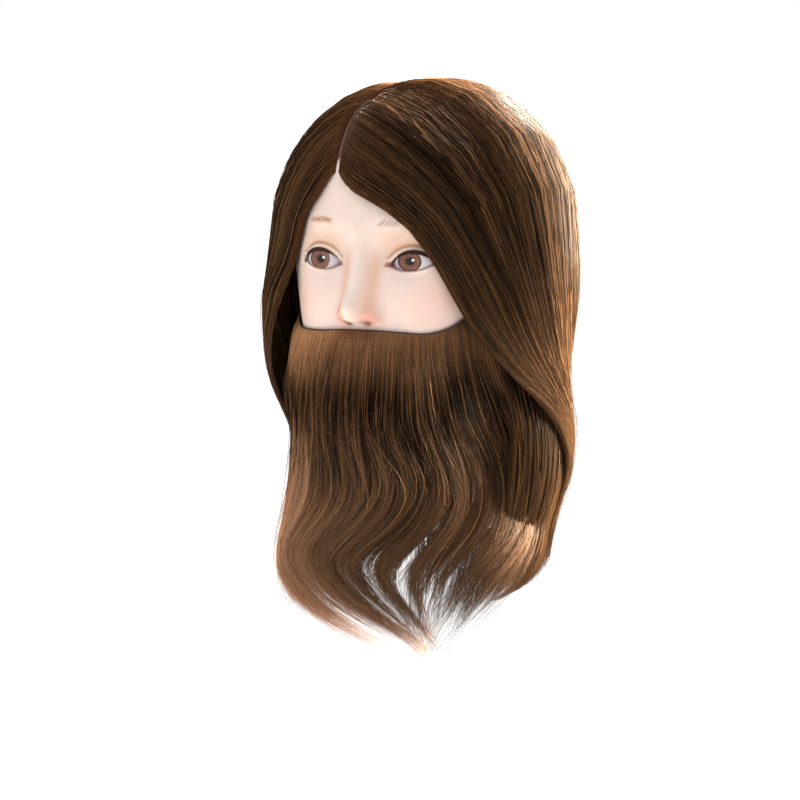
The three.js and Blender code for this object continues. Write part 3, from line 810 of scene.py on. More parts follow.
def hang_points(side, u, z, w):
    edge = table(FACE_EDGE[side], z)[0]
    angle = np.radians(mix(edge, 180, u))
    left_wide, right_wide, front, back = table(HANGING, z)
    wide = left_wide if side > 0 else right_wide
    reach_y = np.where(np.cos(angle) > 0, front, back)
    full = smooth(0, 0.3, u)
    outer = 1 / np.hypot(np.sin(angle) / wide, np.cos(angle) / reach_y)
    reach = mix(np.minimum(FACE_HAIR_REACH[side], outer), outer, full)
    thick = mix(FACE_HAIR_THICK, 9.0, full)
    r = reach - thick * w
    return np.stack([side * r * np.sin(angle), SKULL_Y - r * np.cos(angle), z], axis=-1)


LOWEST_TIP = -76.0
HAIR_STEPS = 20
CAP_KNOTS = np.array([0, 0.014, 0.05, 0.12, 0.22, 0.35, 0.5, 0.66, 0.83, 1.0])
CAP_STEPS = len(CAP_KNOTS)
HAIR_DARK, HAIR_LIGHT = srgb(22, 14, 10), srgb(80, 58, 39)
HAIR_TIP, HAIR_EDGE = srgb(104, 76, 52), srgb(108, 72, 48)


def hair_tones(draw, count, lock_share, lift=0.0):
    """Middle and tip colours and radii of a batch of strands; a few stand out lighter and thicker."""
    tone = np.clip(draw.gamma(1.5, 0.24, count) + lift + lock_share, 0, 1.5)
    accent = draw.random(count) < 0.09
    tone = np.where(accent, draw.uniform(1.2, 2.4, count), tone)[:, None]
    middles = mix(HAIR_DARK, HAIR_LIGHT, tone)
    radius = np.where(accent, draw.uniform(0.2, 0.3, count), draw.uniform(0.1, 0.2, count))
    return middles, mix(middles, HAIR_TIP, 0.35), radius


def head_hair(side, place, u_from, u_to, count, seed, depth=(0.0, 1.0), part=""):
    """One section of the rooted hair, each strand running from the scalp down to its tip."""
    draw = np.random.default_rng(seed)
    small, large = Locks(0.0065, 5), Locks(0.032, 6)
    u = draw.uniform(u_from, u_to, count)
    w = mix(*depth, draw.random(count))
    at_part = draw.random(count) < 0.8 - 0.5 * w
    along_part = draw.uniform(0.0, 0.03, count)
    over_scalp = draw.uniform(0.0, 0.75, count) * mix(0.25, 1, w)
    root_v = np.where(at_part, along_part, over_scalp)
    middle, values = small.of(u)
    big_middle, big_values = large.of(u)
    stray = draw.random(count) < 0.025
    tip = table(HAIR_TIPS[side], u)[0] + draw.normal(0, 6, count) + 60 * draw.random(count) ** 1.5 - 13
    tip += 14 * (big_values[:, 1] - 0.5) + 8 * (values[:, 2] - 0.5)
    tip = np.maximum(tip, LOWEST_TIP + 5 * draw.random(count))
    s = np.linspace(0, 1, HAIR_STEPS)[None, :]
    knots = np.append(CAP_KNOTS, np.ones(HAIR_STEPS - CAP_STEPS))[None, :]
    v = mix(root_v[:, None], 1.0, knots)
    fall = np.clip((np.arange(HAIR_STEPS) - CAP_STEPS + 1) / (HAIR_STEPS - CAP_STEPS), 0, 1)[None, :]
    z = mix(EQUATOR, tip[:, None], fall)
    pull = mix(0.0, 0.62, smooth(0.1, 0.8, s)) * np.where(stray, 0.2, 1.0)[:, None]
    lock = u[:, None] + (middle - u)[:, None] * pull + (big_middle - u)[:, None] * 0.2 * smooth(0.5, 1.0, s)
    wave = 0.004 * np.sin(2 * np.pi * (1.3 * s + values[:, 3:4]))
    wave = wave + 0.003 * np.sin(5 * np.pi * s + 7 * u[:, None])
    lock = lock + (wave + draw.normal(0, 0.004, (count, 1)) * s) * smooth(0.25, 1, s)
    lock = np.clip(lock, (0.014 * draw.random(count) - 0.009)[:, None], 1.02)
    layer = w[:, None] + (values[:, 1:2] - 0.5) * 0.3 * pull + 0.08 * np.sin(9 * s + 6.3 * big_values[:, 2:3])
    layer = mix(1.0, np.clip(layer, 0, 1), smooth(0, 0.16, knots))
    layer = layer - np.where(stray, draw.uniform(0.1, 0.5, count), 0)[:, None] * smooth(0.3, 1, s)
    on_cap = cap_points(side, lock + 0 * v, v, layer)
    for step, sunk in ((0, 2.8), (1, 1.1)):
        on_cap[:, step] -= unit(on_cap[:, step] - SKULL_CENTRE) * sunk
    hanging = hang_points(side, lock, z, layer)
    paths = np.where((np.arange(HAIR_STEPS) < CAP_STEPS)[None, :, None], on_cap, hanging)
    paths = even_paths(paths, 2, CAP_STEPS - 2)
    shares = 0.5 * (values[:, 3] - 0.5) + 0.3 * (big_values[:, 3] - 0.5)
    middles, tips, radius = hair_tones(draw, count, shares)
    edge = smooth(0.03, 0.0, u)[:, None] * 0.35
    middles = mix(middles, HAIR_EDGE, edge)
    roots = mix(middles, HAIR_EDGE, 0.55)
    label = SIDE_NAME[side]
    made = strands(f"hair_{place}_{label}{part}_strands", paths, radius, roots, middles, tips, root_end=0.32)
    nodes = () if part else (f"hair_top_{place}_{label}", f"hair_fall_{place}_{label}")
    return finish_piece(made, "head", "hair", hair_material(), *nodes)


def under_hair(side, count, seed):
    """Strands rooted round the ear that fill the space between the outer hair and the jaw."""
    draw = np.random.default_rng(seed)
    small = Locks(2.2, 9)
    degrees_round = draw.uniform(64, 126, count)
    middle, values = small.of(degrees_round)
    w = draw.random(count)
    root_z = draw.uniform(112, 150, count)
    tip = mix(-34, -46, smooth(64, 100, degrees_round)) + 40 * draw.random(count) ** 1.6
    tip += 10 * (values[:, 1] - 0.5)
    s = np.linspace(0, 1, HAIR_STEPS)[None, :]
    z = mix(root_z[:, None], tip[:, None], s)
    angle = degrees_round[:, None] + (middle - degrees_round)[:, None] * 0.6 * smooth(0.1, 0.8, s)
    angle = angle + 1.6 * np.sin(2 * np.pi * (1.2 * s + values[:, 3:4])) * smooth(0.2, 1, s)
    angle = np.radians(angle)
    left_wide, right_wide, front, back = table(HANGING, z)
    wide = left_wide if side > 0 else right_wide
    outer = 1 / np.hypot(np.sin(angle) / wide, np.cos(angle) / np.where(np.cos(angle) > 0, front, back))
    reach = outer - mix(2.5, 8.5, smooth(0, 60, z)) - 5 * w[:, None]
    free = np.stack([side * reach * np.sin(angle), SKULL_Y - reach * np.cos(angle), z], axis=-1)
    rooted = face_points(side * angle, z, 1.2 + 2 * (1 - w[:, None]) * smooth(0, 0.15, s))
    paths = even_paths(mix(rooted, free, smooth(0.06, 0.4, s)[..., None]), 1)
    middles, tips, radius = hair_tones(draw, count, 0.4 * (values[:, 3] - 0.5), -0.05)
    label = SIDE_NAME[side]
    made = strands(f"hair_under_{label}_strands", paths, radius, middles, middles, tips)
    return finish_piece(made, "head", "hair", hair_material())


# ---------------------------------------------------------------- beard

BEARD_ROUND = 66.0
BEARD_EDGE = {
    1: [[0, 130], [10, 129.8], [22, 128.6], [35, 127.8], [45, 131.5], [53, 138], [66, 143]],
    -1: [[0, 130], [10, 129.8], [22, 128.6], [35, 128], [50, 128.5], [58, 131], [66, 135]],
}
BEARD_HANG = [
    [-80, -26, 54, 66, 66, 76],
    [-60, -23, 62, 76, 76, 88],
    [-20, -19, 76, 84, 85, 101],
    [20, -14, 70, 91, 77, 109],
    [60, -10, 68, 98, 74, 113],
    [100, -8, 71, 100, 80, 110],
]
BEARD_TIPS = [
    [-66, -24], [-50, -48], [-25, -60], [0, -62], [20, -65], [34, -55], [48, -55], [58, -66], [66, -65],
]
BEARD_ROOT_LAYER = 4.5
BEARD_STEPS = 19
BEARD_ROOT_AND_HIGHLIGHT, BEARD_PALE = srgb(194, 142, 104), srgb(206, 158, 124)
NET_LOW_LEVEL = 4.7
# How strands rooted at an angle round the face wander as they fall: each column a root, each row a height.
WAVE_ROOTS = [-66, -58, -36, -15, 20, 46, 60, 66]
WAVE = [
    [-80, 8, 16, 28, 38, 44, 38, 38, 44],
    [-66, -16, -4, 10, 26, 36, 38, 44, 54],
    [-50, -44, -34, -18, 0, 24, 37, 50, 64],
    [-36, -62, -54, -38, -17, 13, 39, 58, 74],
    [-24, -69, -64, -52, -29, 4, 42, 65, 80],
    [-12, -71, -67, -55, -38, 5, 51, 77, 86],
    [3, -70, -65, -49, -30, 19, 62, 88, 94],
    [19, -68, -62, -42, -17, 30, 68, 92, 97],
    [42, -66, -61, -38, -13, 31, 68, 90, 95],
    [57, -66, -60, -38, -15, 26, 64, 85, 91],
    [76, -66, -59, -37, -17, 22, 56, 77, 82],
    [104, -66, -58, -36, -16, 20, 48, 63, 68],
    [144, -66, -58, -36, -15, 20, 46, 60, 66],
]


def beard_edge(angle):
    left = table(BEARD_EDGE[1], np.abs(angle))[0]
    right = table(BEARD_EDGE[-1], np.abs(angle))[0]
    return np.where(angle >= 0, left, right)


def wave_angle(root, z):
    """Degrees round the head of a strand rooted at an angle, at a height."""
    columns = np.stack(table(WAVE, z), axis=-1)
    roots = np.array(WAVE_ROOTS, float)
    root = np.clip(root, roots[0], roots[-1])
    i = np.clip(np.searchsorted(roots, root, side="right") - 1, 0, len(roots) - 2)
    t = (root - roots[i]) / (roots[i + 1] - roots[i])
    low = np.take_along_axis(columns, (i + 0 * z.astype(int))[..., None], axis=-1)[..., 0]
    high = np.take_along_axis(columns, (i + 1 + 0 * z.astype(int))[..., None], axis=-1)[..., 0]
    return mix(low, high, t)


def face_points(angle, z, offset):
    """The featureless face at an angle and height, an offset in front of the skin."""
    level = np.clip(level_at(angle, z, -offset), 4.2, TOP_RING)
    found = head_points(angle, level, -offset)
    found[..., 2] = z
    return found


def beard_points(degrees_round, z, w):
    """Beard strands over the face and hanging: w runs from the outside in."""
    angle = np.radians(degrees_round)
    below_edge = beard_edge(np.clip(degrees_round, -BEARD_ROUND, BEARD_ROUND)) - z
    fluff = mix(2.4, 12, smooth(0, 0.24, np.clip(below_edge / 180, 0, 1)))
    inmost = mix(2.0, BEARD_ROOT_LAYER + 0.2, smooth(0, 11, below_edge))
    on_face = face_points(angle, z, inmost + fluff * (1 - w))
    centre_y, inner_wide, inner_front, outer_wide, outer_front = table(BEARD_HANG, z)
    wide, front = mix(outer_wide, inner_wide, w), mix(outer_front, inner_front, w)
    free = np.stack([wide * np.sin(angle), centre_y - front * np.cos(angle), z], axis=-1)
    return mix(on_face, free, (1 - smooth(72, 96, z))[..., None])


def beard_section(name, from_u, to_u, count, seed, rows=(0.0, 1.0), part=""):
    """One section of the beard; rows says how far down the net its strands are rooted."""
    draw = np.random.default_rng(seed)
    small, wisp, large = Locks(0.9, 15), Locks(2.6, 17), Locks(5.5, 16)
    root = draw.uniform(from_u, to_u, count) * BEARD_ROUND
    first_row = draw.random(count) < (0.35 if rows[0] == 0 else 0)
    depth = np.where(first_row, 0.0, mix(*rows, draw.random(count)))
    net_low = head_points(np.radians(root), np.full(count, NET_LOW_LEVEL))[:, 2]
    edge = beard_edge(root)
    root_z = mix(edge - 0.4, net_low + 1.0, depth)
    middle, values = small.of(root)
    wisp_middle, wisp_values = wisp.of(root)
    big_middle, big_values = large.of(root)
    stray = draw.random(count) < 0.02
    tip = table(BEARD_TIPS, root)[0]
    tip += 80 * draw.random(count) ** 0.6 + 10 * (values[:, 2] - 0.6) + 24 * (wisp_values[:, 1] - 0.5) - 10
    tip = np.maximum(tip, LOWEST_TIP)
    s = np.linspace(0, 1, BEARD_STEPS)[None, :]
    z = mix(root_z[:, None], tip[:, None], s**1.08)
    pull = mix(0.0, 0.6, smooth(0.1, 0.8, s)) * np.where(stray, 0.2, 1.0)[:, None]
    place = root[:, None] + (middle - root)[:, None] * pull
    place = place + (wisp_middle - root)[:, None] * 0.6 * smooth(0.6, 1, s) * (1 - pull)
    place = place + (big_middle - root)[:, None] * 0.3 * smooth(0.5, 1, s)
    wander = wave_angle(place, z)
    ripple = np.sin(2 * np.pi * (1.4 * s + values[:, 3:4]))
    ripple = ripple + 1.6 * np.sin(2 * np.pi * (2.1 * s + big_values[:, 3:4]))
    own = (12 * (wisp_values[:, 2:3] - 0.5) + draw.normal(0, 0.9, (count, 1))) * smooth(0.45, 1, s)
    wander = wander + ripple * smooth(0.25, 0.9, s) + own
    wander = wander + 1.2 * np.sin(7 * s + 6.3 * draw.random((count, 1))) * s
    wander = wander + np.where(stray, draw.normal(0, 7, count), 0)[:, None] * smooth(0.3, 1, s)
    w = np.clip(0.75 * depth + 0.25 * draw.random(count), 0, 1)
    layer = w[:, None] + (values[:, 1:2] - 0.5) * 0.3 * pull + 0.12 * np.sin(8 * s + 6.3 * big_values[:, 2:3])
    layer = mix(1.0, np.clip(layer, 0, 1), smooth(0, 0.12, s))
    layer = layer - np.where(stray, draw.uniform(0.1, 0.5, count), 0)[:, None] * smooth(0.2, 1, s)
    paths = even_paths(beard_points(wander, z, layer), 1)
    lock_share = 0.45 * (values[:, 3] - 0.5) + 0.3 * (big_values[:, 3] - 0.5)
    darker = 0.18 + 0.28 * smooth(-40, 0, root) + 0.1 * smooth(25, 50, root)
    middles, tips, radius = hair_tones(draw, count, lock_share, -darker)
    away = smooth(30, -45, root)[:, None]
    pale = draw.uniform(0.5, 1.4, (count, 1))
    # lighter roots, more so towards the head's right: partly the beard's own lighter roots, partly a painted
    # highlight band along them
    roots = mix(middles, BEARD_ROOT_AND_HIGHLIGHT * pale, mix(0.35, 0.8, away))
    tips = mix(tips, BEARD_PALE * pale, mix(0.12, 0.85, away))
    made = strands(f"{name}{part}_strands", paths, radius, roots, middles, tips, root_end=0.34)
    return finish_piece(made, "beard", "beard_hair", beard_material(), *(() if part else (name,)))


# ---------------------------------------------------------------- beard's net, edge and pads


def slab_between(name, outer, inner):
    """A closed sheet between two grids of points."""
    rows, columns, _ = outer.shape
    index = np.arange(rows * columns).reshape(rows, columns)
    back = index + rows * columns
    faces = []
    for j in range(rows - 1):
        for i in range(columns - 1):
            faces.append((index[j, i], index[j, i + 1], index[j + 1, i + 1], index[j + 1, i]))
            faces.append((back[j, i], back[j + 1, i], back[j + 1, i + 1], back[j, i + 1]))
    rim = [*index[0, :], *index[1:, -1], *index[-1, -2::-1], *index[-2:0:-1, 0]]
    for a, b in zip(rim, rim[1:] + rim[:1]):
        faces.append((b, a, a + rows * columns, b + rows * columns))
    points = np.vstack([outer.reshape(-1, 3), inner.reshape(-1, 3)])
    made = new_object(name, points, [tuple(int(i) for i in face) for face in faces])
    outward(made)
    return made


def beard_net():
    """The knotted net that the beard is tied to, stretched over the jaw."""
    rounds = np.linspace(-BEARD_ROUND, BEARD_ROUND, 133)
    low = head_points(np.radians(rounds), np.full(rounds.shape, NET_LOW_LEVEL))[:, 2]
    up = np.linspace(0, 1, 40)[:, None]
    z = mix(low[None, :], beard_edge(rounds)[None, :], up)
    angle = np.radians(rounds)[None, :] + 0 * z
    close = smooth(0.8, 1.0, up)
    sheets = [face_points(angle, z, mix(offset, edge, close)) for offset, edge in ((4.1, 1.8), (3.8, 1.5))]
    net = slab_between("beard_net_lace", *sheets)
    finish_piece(net, "beard", "net", net_material(), "beard_net")
    return net


def beard_edge_cord():
    """The bound edge of the net: a thin dark tape, rolled over, with its stitches."""
    rounds = np.linspace(-BEARD_ROUND, BEARD_ROUND, 397)
    z = beard_edge(rounds) + 0.3
    centre = face_points(np.radians(rounds), z, 1.65)
    turns = np.radians(np.arange(12) * 30)
    stitch = 1 + 0.12 * np.sin(np.arange(len(rounds)) * 2.0)
    out = unit(centre - np.array([0, SKULL_Y, 0]) - np.array([0, 0, 1]) * centre[:, 2:])
    up = np.array([0, 0, 1.0])
    ring = [centre + 0.36 * stitch[:, None] * (np.cos(t) * out * 0.8 + np.sin(t) * up) for t in turns]
    points = np.stack(ring, axis=1).reshape(-1, 3)
    faces = tube_faces(len(rounds), 12)
    faces.append(list(range(12)))
    faces.append([(len(rounds) - 1) * 12 + i for i in reversed(range(12))])
    made = new_object("beard_edge_binding", points, faces)
    outward(made)
    return finish_piece(made, "beard", "edge_tape", tape_material(), "beard_edge_tape")


PAD_ANGLE, PAD_HEIGHT = 49, 105.5


def pad(side, kind, low_offset, high_offset, body):
    """A patch of hook or loop tape with rounded corners and a raised field."""
    p, q = np.meshgrid(np.linspace(-1, 1, 41), np.linspace(-1, 1, 41))
    shrink = 1 - 0.12 * (np.abs(p) ** 6 * np.abs(q) ** 6)
    rounds = side * (PAD_ANGLE + 7 * p * shrink)
    z = PAD_HEIGHT + 7.5 * q * shrink
    rim = smooth(1.0, 0.9, np.maximum(np.abs(p), np.abs(q)))
    tufts = 0.16 * np.sin(p * 62) * np.sin(q * 66) * rim
    outer = face_points(np.radians(rounds), z, high_offset - 0.25 * (1 - rim) - 0.16 + tufts)
    inner = face_points(np.radians(rounds), z, low_offset + 0 * rim)
    label = SIDE_NAME[side]
    made = slab_between(f"{kind}_tape_{label}", outer, inner)
    return finish_piece(made, body, "hook_and_loop", hook_material(), f"{kind}_pad_{label}")


# ---------------------------------------------------------------- neck fittings


def turned_piece(name, profile, replaced, material):
    """profile rows are radius and height, closed, anticlockwise."""
    profile = np.asarray(profile, float)
    segments = 128
    turns = np.arange(segments) * 2 * np.pi / segments
    x = profile[:, :1] * np.cos(turns)
    y = profile[:, :1] * np.sin(turns)
    z = np.repeat(profile[:, 1:], segments, axis=1)
    points = np.stack([x, y, z], axis=-1).reshape(-1, 3)
    faces = tube_faces(len(profile), segments)
    last = (len(profile) - 1) * segments
    for i in range(segments):
        k = (i + 1) % segments
        faces.append((last + i, i, k, last + k))
    made = new_object(name, points, faces)
    bm = bmesh.new()
    bm.from_mesh(made.data)
    bmesh.ops.remove_doubles(bm, verts=bm.verts, dist=1e-6)
    bmesh.ops.recalc_face_normals(bm, faces=bm.faces)
    for edge in bm.edges:
        if len(edge.link_faces) == 2 and edge.calc_face_angle() > np.radians(35):
            edge.smooth = False
    bm.to_mesh(made.data)
    bm.free()
    return finish_piece(made, "head", "white_plastic", material, replaced)


def rounded(corners, radius=0.5, steps=4):
    """The corners of a closed profile eased by short arcs."""
    corners = np.asarray(corners, float)
    eased = []
    for i, corner in enumerate(corners):
        before = corners[i - 1] - corner
        after = corners[(i + 1) % len(corners)] - corner
        r = min(radius, 0.45 * np.linalg.norm(before), 0.45 * np.linalg.norm(after))
        a, b = corner + r * unit(before), corner + r * unit(after)
        for t in np.linspace(0, 1, steps):
            eased.append((1 - t) ** 2 * a + 2 * t * (1 - t) * corner + t * t * b)
    return np.array(eased)


def neck_pieces():
    plastic = plastic_material()
    sleeve = [[13.5, 0], [26, 0], [26, 3], [16, 3], [14, 92], [0.001, 92], [0.001, 89.5], [11.5, 89.5]]
    turned_piece("neck_socket_sleeve", rounded(sleeve), "neck_socket", plastic)
    disc = rounded([[26.4, 0], [47.5, 0], [47.5, 5], [26.4, 5]], 0.8)
    turned_piece("neck_base_ring", disc, "neck_base_disc", plastic)


# ---------------------------------------------------------------- materials


def new_material(name):
    material = bpy.data.materials.get(name)
    if material:
        return material, None
    material = bpy.data.materials.new(name)
    material.use_nodes = True
    return material, Nodes(material)


class Nodes:
    """Short words for building a material's nodes."""

    def __init__(self, material):
        self.tree = material.node_tree
        self.shader = self.tree.nodes["Principled BSDF"]

    def add(self, kind, **settings):
        node = self.tree.nodes.new(kind)
        for key, value in settings.items():
            setattr(node, key, value)
        return node

    def link(self, output, socket):
        self.tree.links.new(output, socket)

    def set(self, **values):
        for name, value in values.items():
            self.shader.inputs[name.replace("_", " ")].default_value = value

    def place(self):
        return self.add("ShaderNodeTexCoord").outputs["Object"]

    def noise(self, scale, detail, roughness=0.5):
        node = self.add("ShaderNodeTexNoise")
        node.inputs["Scale"].default_value = scale
        node.inputs["Detail"].default_value = detail
        node.inputs["Roughness"].default_value = roughness
        self.link(self.place(), node.inputs["Vector"])
        return node.outputs["Fac"]

    def grain(self, scale, detail, low=0.0, high=1.0, roughness=0.5):
        """Noise whose usual spread runs from low to high."""
        return self.range(self.noise(scale, detail, roughness), 0.3, 0.7, low, high)

    def tint(self):
        return self.add("ShaderNodeAttribute", attribute_name="tint").outputs["Color"]

    def ramp(self, value, *stops):
        node = self.add("ShaderNodeValToRGB")
        elements = node.color_ramp.elements
        while len(elements) < len(stops):
            elements.new(0.5)
        for element, (at, colour) in zip(elements, stops):
            element.position = at
            element.color = (*colour, 1)
        self.link(value, node.inputs["Fac"])
        return node.outputs["Color"]

    def range(self, value, low, high, new_low, new_high):
        node = self.add("ShaderNodeMapRange")
        for name, number in zip(("From Min", "From Max", "To Min", "To Max"), (low, high, new_low, new_high)):
            node.inputs[name].default_value = number
        self.link(value, node.inputs["Value"])
        return node.outputs["Result"]

    def mixed(self, a, b, factor, mode="MIX"):
        node = self.add("ShaderNodeMix", data_type="RGBA", blend_type=mode)
        for value, socket in ((factor, node.inputs[0]), (a, node.inputs[6]), (b, node.inputs[7])):
            if isinstance(value, bpy.types.NodeSocket):
                self.link(value, socket)
            elif isinstance(value, float):
                socket.default_value = value
            else:
                socket.default_value = (*value, 1)
        return node.outputs[2]

    def bump(self, height, strength, distance):
        node = self.add("ShaderNodeBump")
        node.inputs["Strength"].default_value = strength
        node.inputs["Distance"].default_value = distance
        self.link(height, node.inputs["Height"])
        self.link(node.outputs["Normal"], self.shader.inputs["Normal"])

    def colour(self, output):
        self.link(output, self.shader.inputs["Base Color"])

    def roughness(self, output):
        self.link(output, self.shader.inputs["Roughness"])


def skin_material():
    """Painted soft vinyl: faint mottling, a satin face and fine moulded pores."""
    material, n = new_material("skin_vinyl")
    if n:
        mottle = n.grain(140, 4)
        tone = n.ramp(mottle, (0, (0.965, 0.955, 0.95)), (1, (1, 1, 1)))
        n.colour(n.mixed(n.tint(), tone, 1.0, "MULTIPLY"))
        matt = n.range(n.tint(), 0.08, 0.3, 1.0, 0.0)
        satin = n.grain(400, 3, 0.42, 0.52)
        n.roughness(n.mixed(satin, (0.95, 0.95, 0.95), matt))
        n.bump(n.noise(2600, 2), 0.12, 0.00012)
        n.set(Subsurface_Weight=0.12, Subsurface_Scale=0.004, Specular_IOR_Level=0.35)
        n.shader.inputs["Subsurface Radius"].default_value = (1.0, 0.45, 0.3)
    return material


def hair_like(name, roughness, tint_share):
    material, n = new_material(name)
    if n:
        streak = n.grain(900, 2)
        shade = n.ramp(streak, (0, (0.78, 0.76, 0.74)), (1, (1.12, 1.1, 1.08)))
        n.colour(n.mixed(n.tint(), shade, tint_share, "MULTIPLY"))
        n.roughness(n.grain(300, 2, roughness - 0.05, roughness + 0.07))
        n.bump(n.noise(4200, 1), 0.15, 0.00005)
        n.set(Specular_IOR_Level=0.35, IOR=1.14)
        n.shader.inputs["Specular Tint"].default_value = (1.0, 0.7, 0.42, 1)
    return material


def hair_material():
    return hair_like("hair_fibre", 0.42, 1.0)


def beard_material():
    return hair_like("beard_fibre", 0.44, 1.0)


def painted_hair_material():
    return hair_like("brow_paint", 0.6, 0.5)


def eye_white_material():
    """Slightly lilac plastic, faintly clouded."""
    material, n = new_material("eye_white_plastic")
    if n:
        cloud = n.grain(160, 3)
        n.colour(n.ramp(cloud, (0, srgb(186, 177, 187)), (1, srgb(208, 200, 208))))
        n.roughness(n.grain(60, 2, 0.12, 0.2))
        n.set(Subsurface_Weight=0.08, Subsurface_Scale=0.002, Specular_IOR_Level=0.3)
    return material


def iris_material():
    material, n = new_material("iris_print")
    if n:
        grain = n.grain(2400, 3)
        shade = n.ramp(grain, (0, (0.8, 0.78, 0.76)), (1, (1.12, 1.12, 1.1)))
        n.colour(n.mixed(n.tint(), shade, 1.0, "MULTIPLY"))
        n.roughness(n.grain(900, 2, 0.3, 0.45))
        n.bump(n.noise(3000, 2), 0.2, 0.00008)
        n.set(Specular_IOR_Level=0.12)
    return material


def cornea_material():
    material, n = new_material("cornea_clear")
    if n:
        n.set(Transmission_Weight=1.0, IOR=1.22, Roughness=0.015)
        n.shader.inputs["Base Color"].default_value = (1, 1, 1, 1)
    return material


def plastic_material():
    """Moulded off-white plastic with faint flow marks and scuffs."""
    material, n = new_material("white_moulded_plastic")
    if n:
        flow = n.grain(30, 4, roughness=0.6)
        n.colour(n.ramp(flow, (0, srgb(218, 214, 206)), (1, srgb(233, 230, 223))))
        n.roughness(n.grain(240, 4, 0.38, 0.6, roughness=0.7))
        n.bump(n.noise(1800, 2), 0.1, 0.0001)
    return material


def foam_material():
    """Rigid foam: pale, open-celled and matt."""
    material, n = new_material("foam_filling")
    if n:
        cells = n.add("ShaderNodeTexVoronoi")
        cells.inputs["Scale"].default_value = 900
        n.link(n.place(), cells.inputs["Vector"])
        n.colour(n.ramp(cells.outputs["Distance"], (0, srgb(196, 176, 128)), (0.7, srgb(224, 207, 165))))
        n.set(Roughness=0.95)
        n.bump(cells.outputs["Distance"], 0.5, 0.0005)
    return material


def net_material():
    """Fine brown lace, its threads picked out by a small cell pattern."""
    material, n = new_material("net_lace")
    if n:
        cells = n.add("ShaderNodeTexVoronoi", feature="DISTANCE_TO_EDGE")
        cells.inputs["Scale"].default_value = 950
        n.link(n.place(), cells.inputs["Vector"])
        thread = n.range(cells.outputs["Distance"], 0.06, 0.16, 1.0, 0.0)
        n.colour(n.ramp(thread, (0, srgb(112, 84, 66)), (1, srgb(44, 31, 25))))
        n.set(Roughness=0.85)
        n.bump(thread, 0.6, 0.0002)
    return material


def tape_material():
    material, n = new_material("edge_binding_cloth")
    if n:
        weave = n.grain(1500, 2)
        n.colour(n.ramp(weave, (0, srgb(24, 16, 13)), (1, srgb(62, 45, 36))))
        n.set(Roughness=0.8)
        n.bump(weave, 0.6, 0.0002)
    return material


def hook_material():
    material, n = new_material("hook_and_loop_tape")
    if n:
        pile = n.grain(2200, 4, roughness=0.7)
        n.colour(n.ramp(pile, (0, srgb(206, 198, 184)), (1, srgb(241, 236, 227))))
        n.set(Roughness=0.9, Sheen_Weight=0.3)
        n.bump(pile, 0.8, 0.0003)
    return material


# ---------------------------------------------------------------- scene


def direction(azimuth, elevation):
    """The way out from the head, in degrees; azimuth 0 is straight in front of the face, + is its left."""
    a, e = np.radians(azimuth), np.radians(elevation)
    return np.array([np.sin(a) * np.cos(e), -np.cos(a) * np.cos(e), np.sin(e)])


def look_back(obj, way):
    obj.rotation_euler = Vector(-way).to_track_quat("-Z", "Y").to_euler()


def camera():
    """A long lens far off, a little to the head's left and looking slightly down."""
    look_at = np.array([-10.5, -18.5, 79.0])
    way, distance = direction(24.5, 5.0), 6000.0
    data = bpy.data.cameras.new("camera")
    data.lens, data.sensor_width = 426.0, 36
    data.clip_end = 50
    made = linked("camera", data)
    made.location = Vector((look_at + way * distance) * MM)
    look_back(made, way)
    bpy.context.scene.camera = made


def area_light(name, azimuth, elevation, distance, size, power, colour=(1, 1, 1), spread=180):
    """A square softbox aimed at the head; its distance and size are in metres."""
    way = direction(azimuth, elevation)
    data = bpy.data.lights.new(name, "AREA")
    data.energy, data.size, data.color = power, size, colour
    data.spread = np.radians(spread)
    made = linked(name, data)
    made.location = Vector(way * distance) + Vector((0, 0, 0.12))
    look_back(made, way)


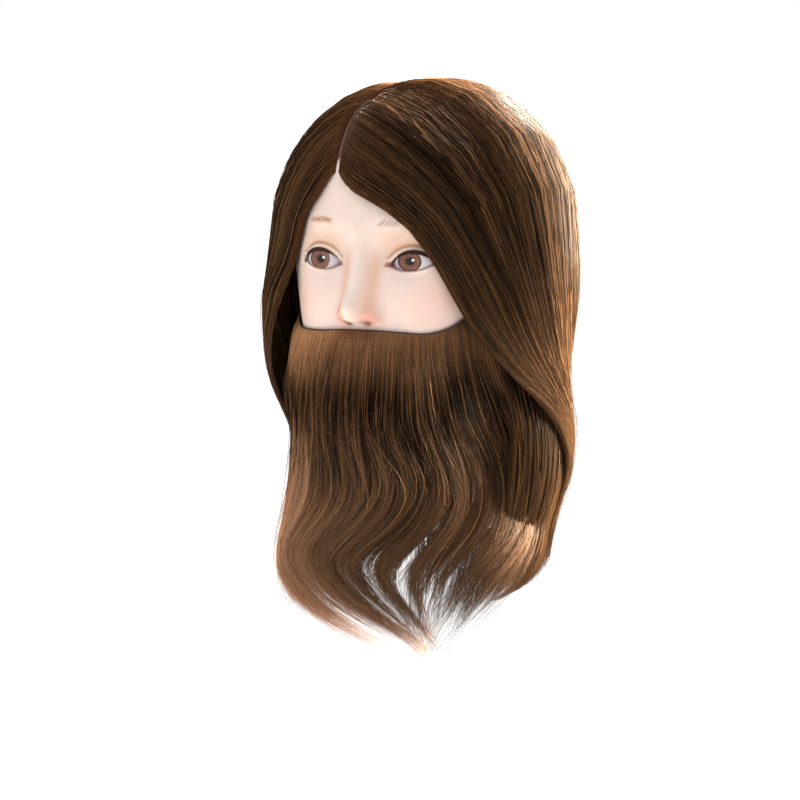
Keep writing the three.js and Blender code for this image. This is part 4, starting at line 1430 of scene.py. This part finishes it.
def studio():
    scene = bpy.context.scene
    scene.view_settings.view_transform = "Standard"
    scene.view_settings.look = "None"
    world = bpy.data.worlds.new("studio")
    scene.world = world
    world.use_nodes = True
    sky = world.node_tree.nodes["Background"]
    sky.inputs["Color"].default_value = (1, 1, 1, 1)
    sky.inputs["Strength"].default_value = 1.0
    area_light("key_back_left", 146, 20, 1.5, 0.8, 46, (1.0, 0.86, 0.68), 60)
    area_light("side_left", 133, 6, 1.6, 0.3, 20, (1.0, 0.86, 0.68), 60)
    area_light("top_light", 160, 47, 1.6, 0.35, 46, (1.0, 0.9, 0.78), 60)
    area_light("front_top", 10, 68, 1.8, 0.9, 9, (1.0, 0.93, 0.86))
    area_light("rim_right", -150, 24, 1.5, 0.5, 12, (1.0, 0.93, 0.84), 60)
    area_light("front_fill", -36, 36, 2.2, 1.0, 0.8)
    half, low = 12000, -400
    corners = [[x * half, y * half, low] for x, y in ((-1, -1), (1, -1), (1, 1), (-1, 1))]
    floor = new_object("floor", corners, [(0, 1, 2, 3)])
    material, n = new_material("pale_floor")
    grain = n.grain(3, 2)
    n.colour(n.ramp(grain, (0, (0.2, 0.2, 0.2)), (1, (0.22, 0.22, 0.22))))
    n.set(Roughness=0.9, Emission_Strength=0.85)
    n.shader.inputs["Emission Color"].default_value = (1, 1, 1, 1)
    floor.data.materials.append(material)


def build():
    camera()
    studio()
    head_shell()
    for side in SIDE_NAME:
        ear(side)
        eye_pieces(side)
        brow(side)
    neck_pieces()
    foam_filling()
    places = (("face_frame", 0.0, 0.2), ("side", 0.2, 0.45), ("behind_ear", 0.45, 0.72), ("back", 0.72, 1.0))
    for side in SIDE_NAME:
        for k, (place, u_from, u_to) in enumerate(places):
            head_hair(side, place, u_from, u_to, 1700, 100 + 10 * k + side)
    for k, (place, u_from, u_to) in enumerate(places[:2]):
        head_hair(1, place, u_from, u_to, 1700, 150 + k, (0.0, 0.6), "_outer")
    under_hair(1, 1700, 160)
    under_hair(-1, 1000, 161)
    sections = (
        ("beard_side_right", -1, -0.62), ("beard_cheek_right", -0.62, -0.24), ("beard_chin", -0.24, 0.24),
        ("beard_cheek_left", 0.24, 0.62), ("beard_side_left", 0.62, 1),
    )
    for k, (name, from_u, to_u) in enumerate(sections):
        beard_section(name, from_u, to_u, 1800, 200 + k)
    for k, (name, from_u, to_u) in enumerate(sections[1:4]):
        beard_section(name, from_u, to_u, 1800, 220 + k, (0.0, 0.7), "_outer")
    beard_net()
    beard_edge_cord()
    for side in SIDE_NAME:
        pad(side, "hook", 0.3, 1.6, "head")
        pad(side, "loop", 1.85, 3.3, "beard")


build()
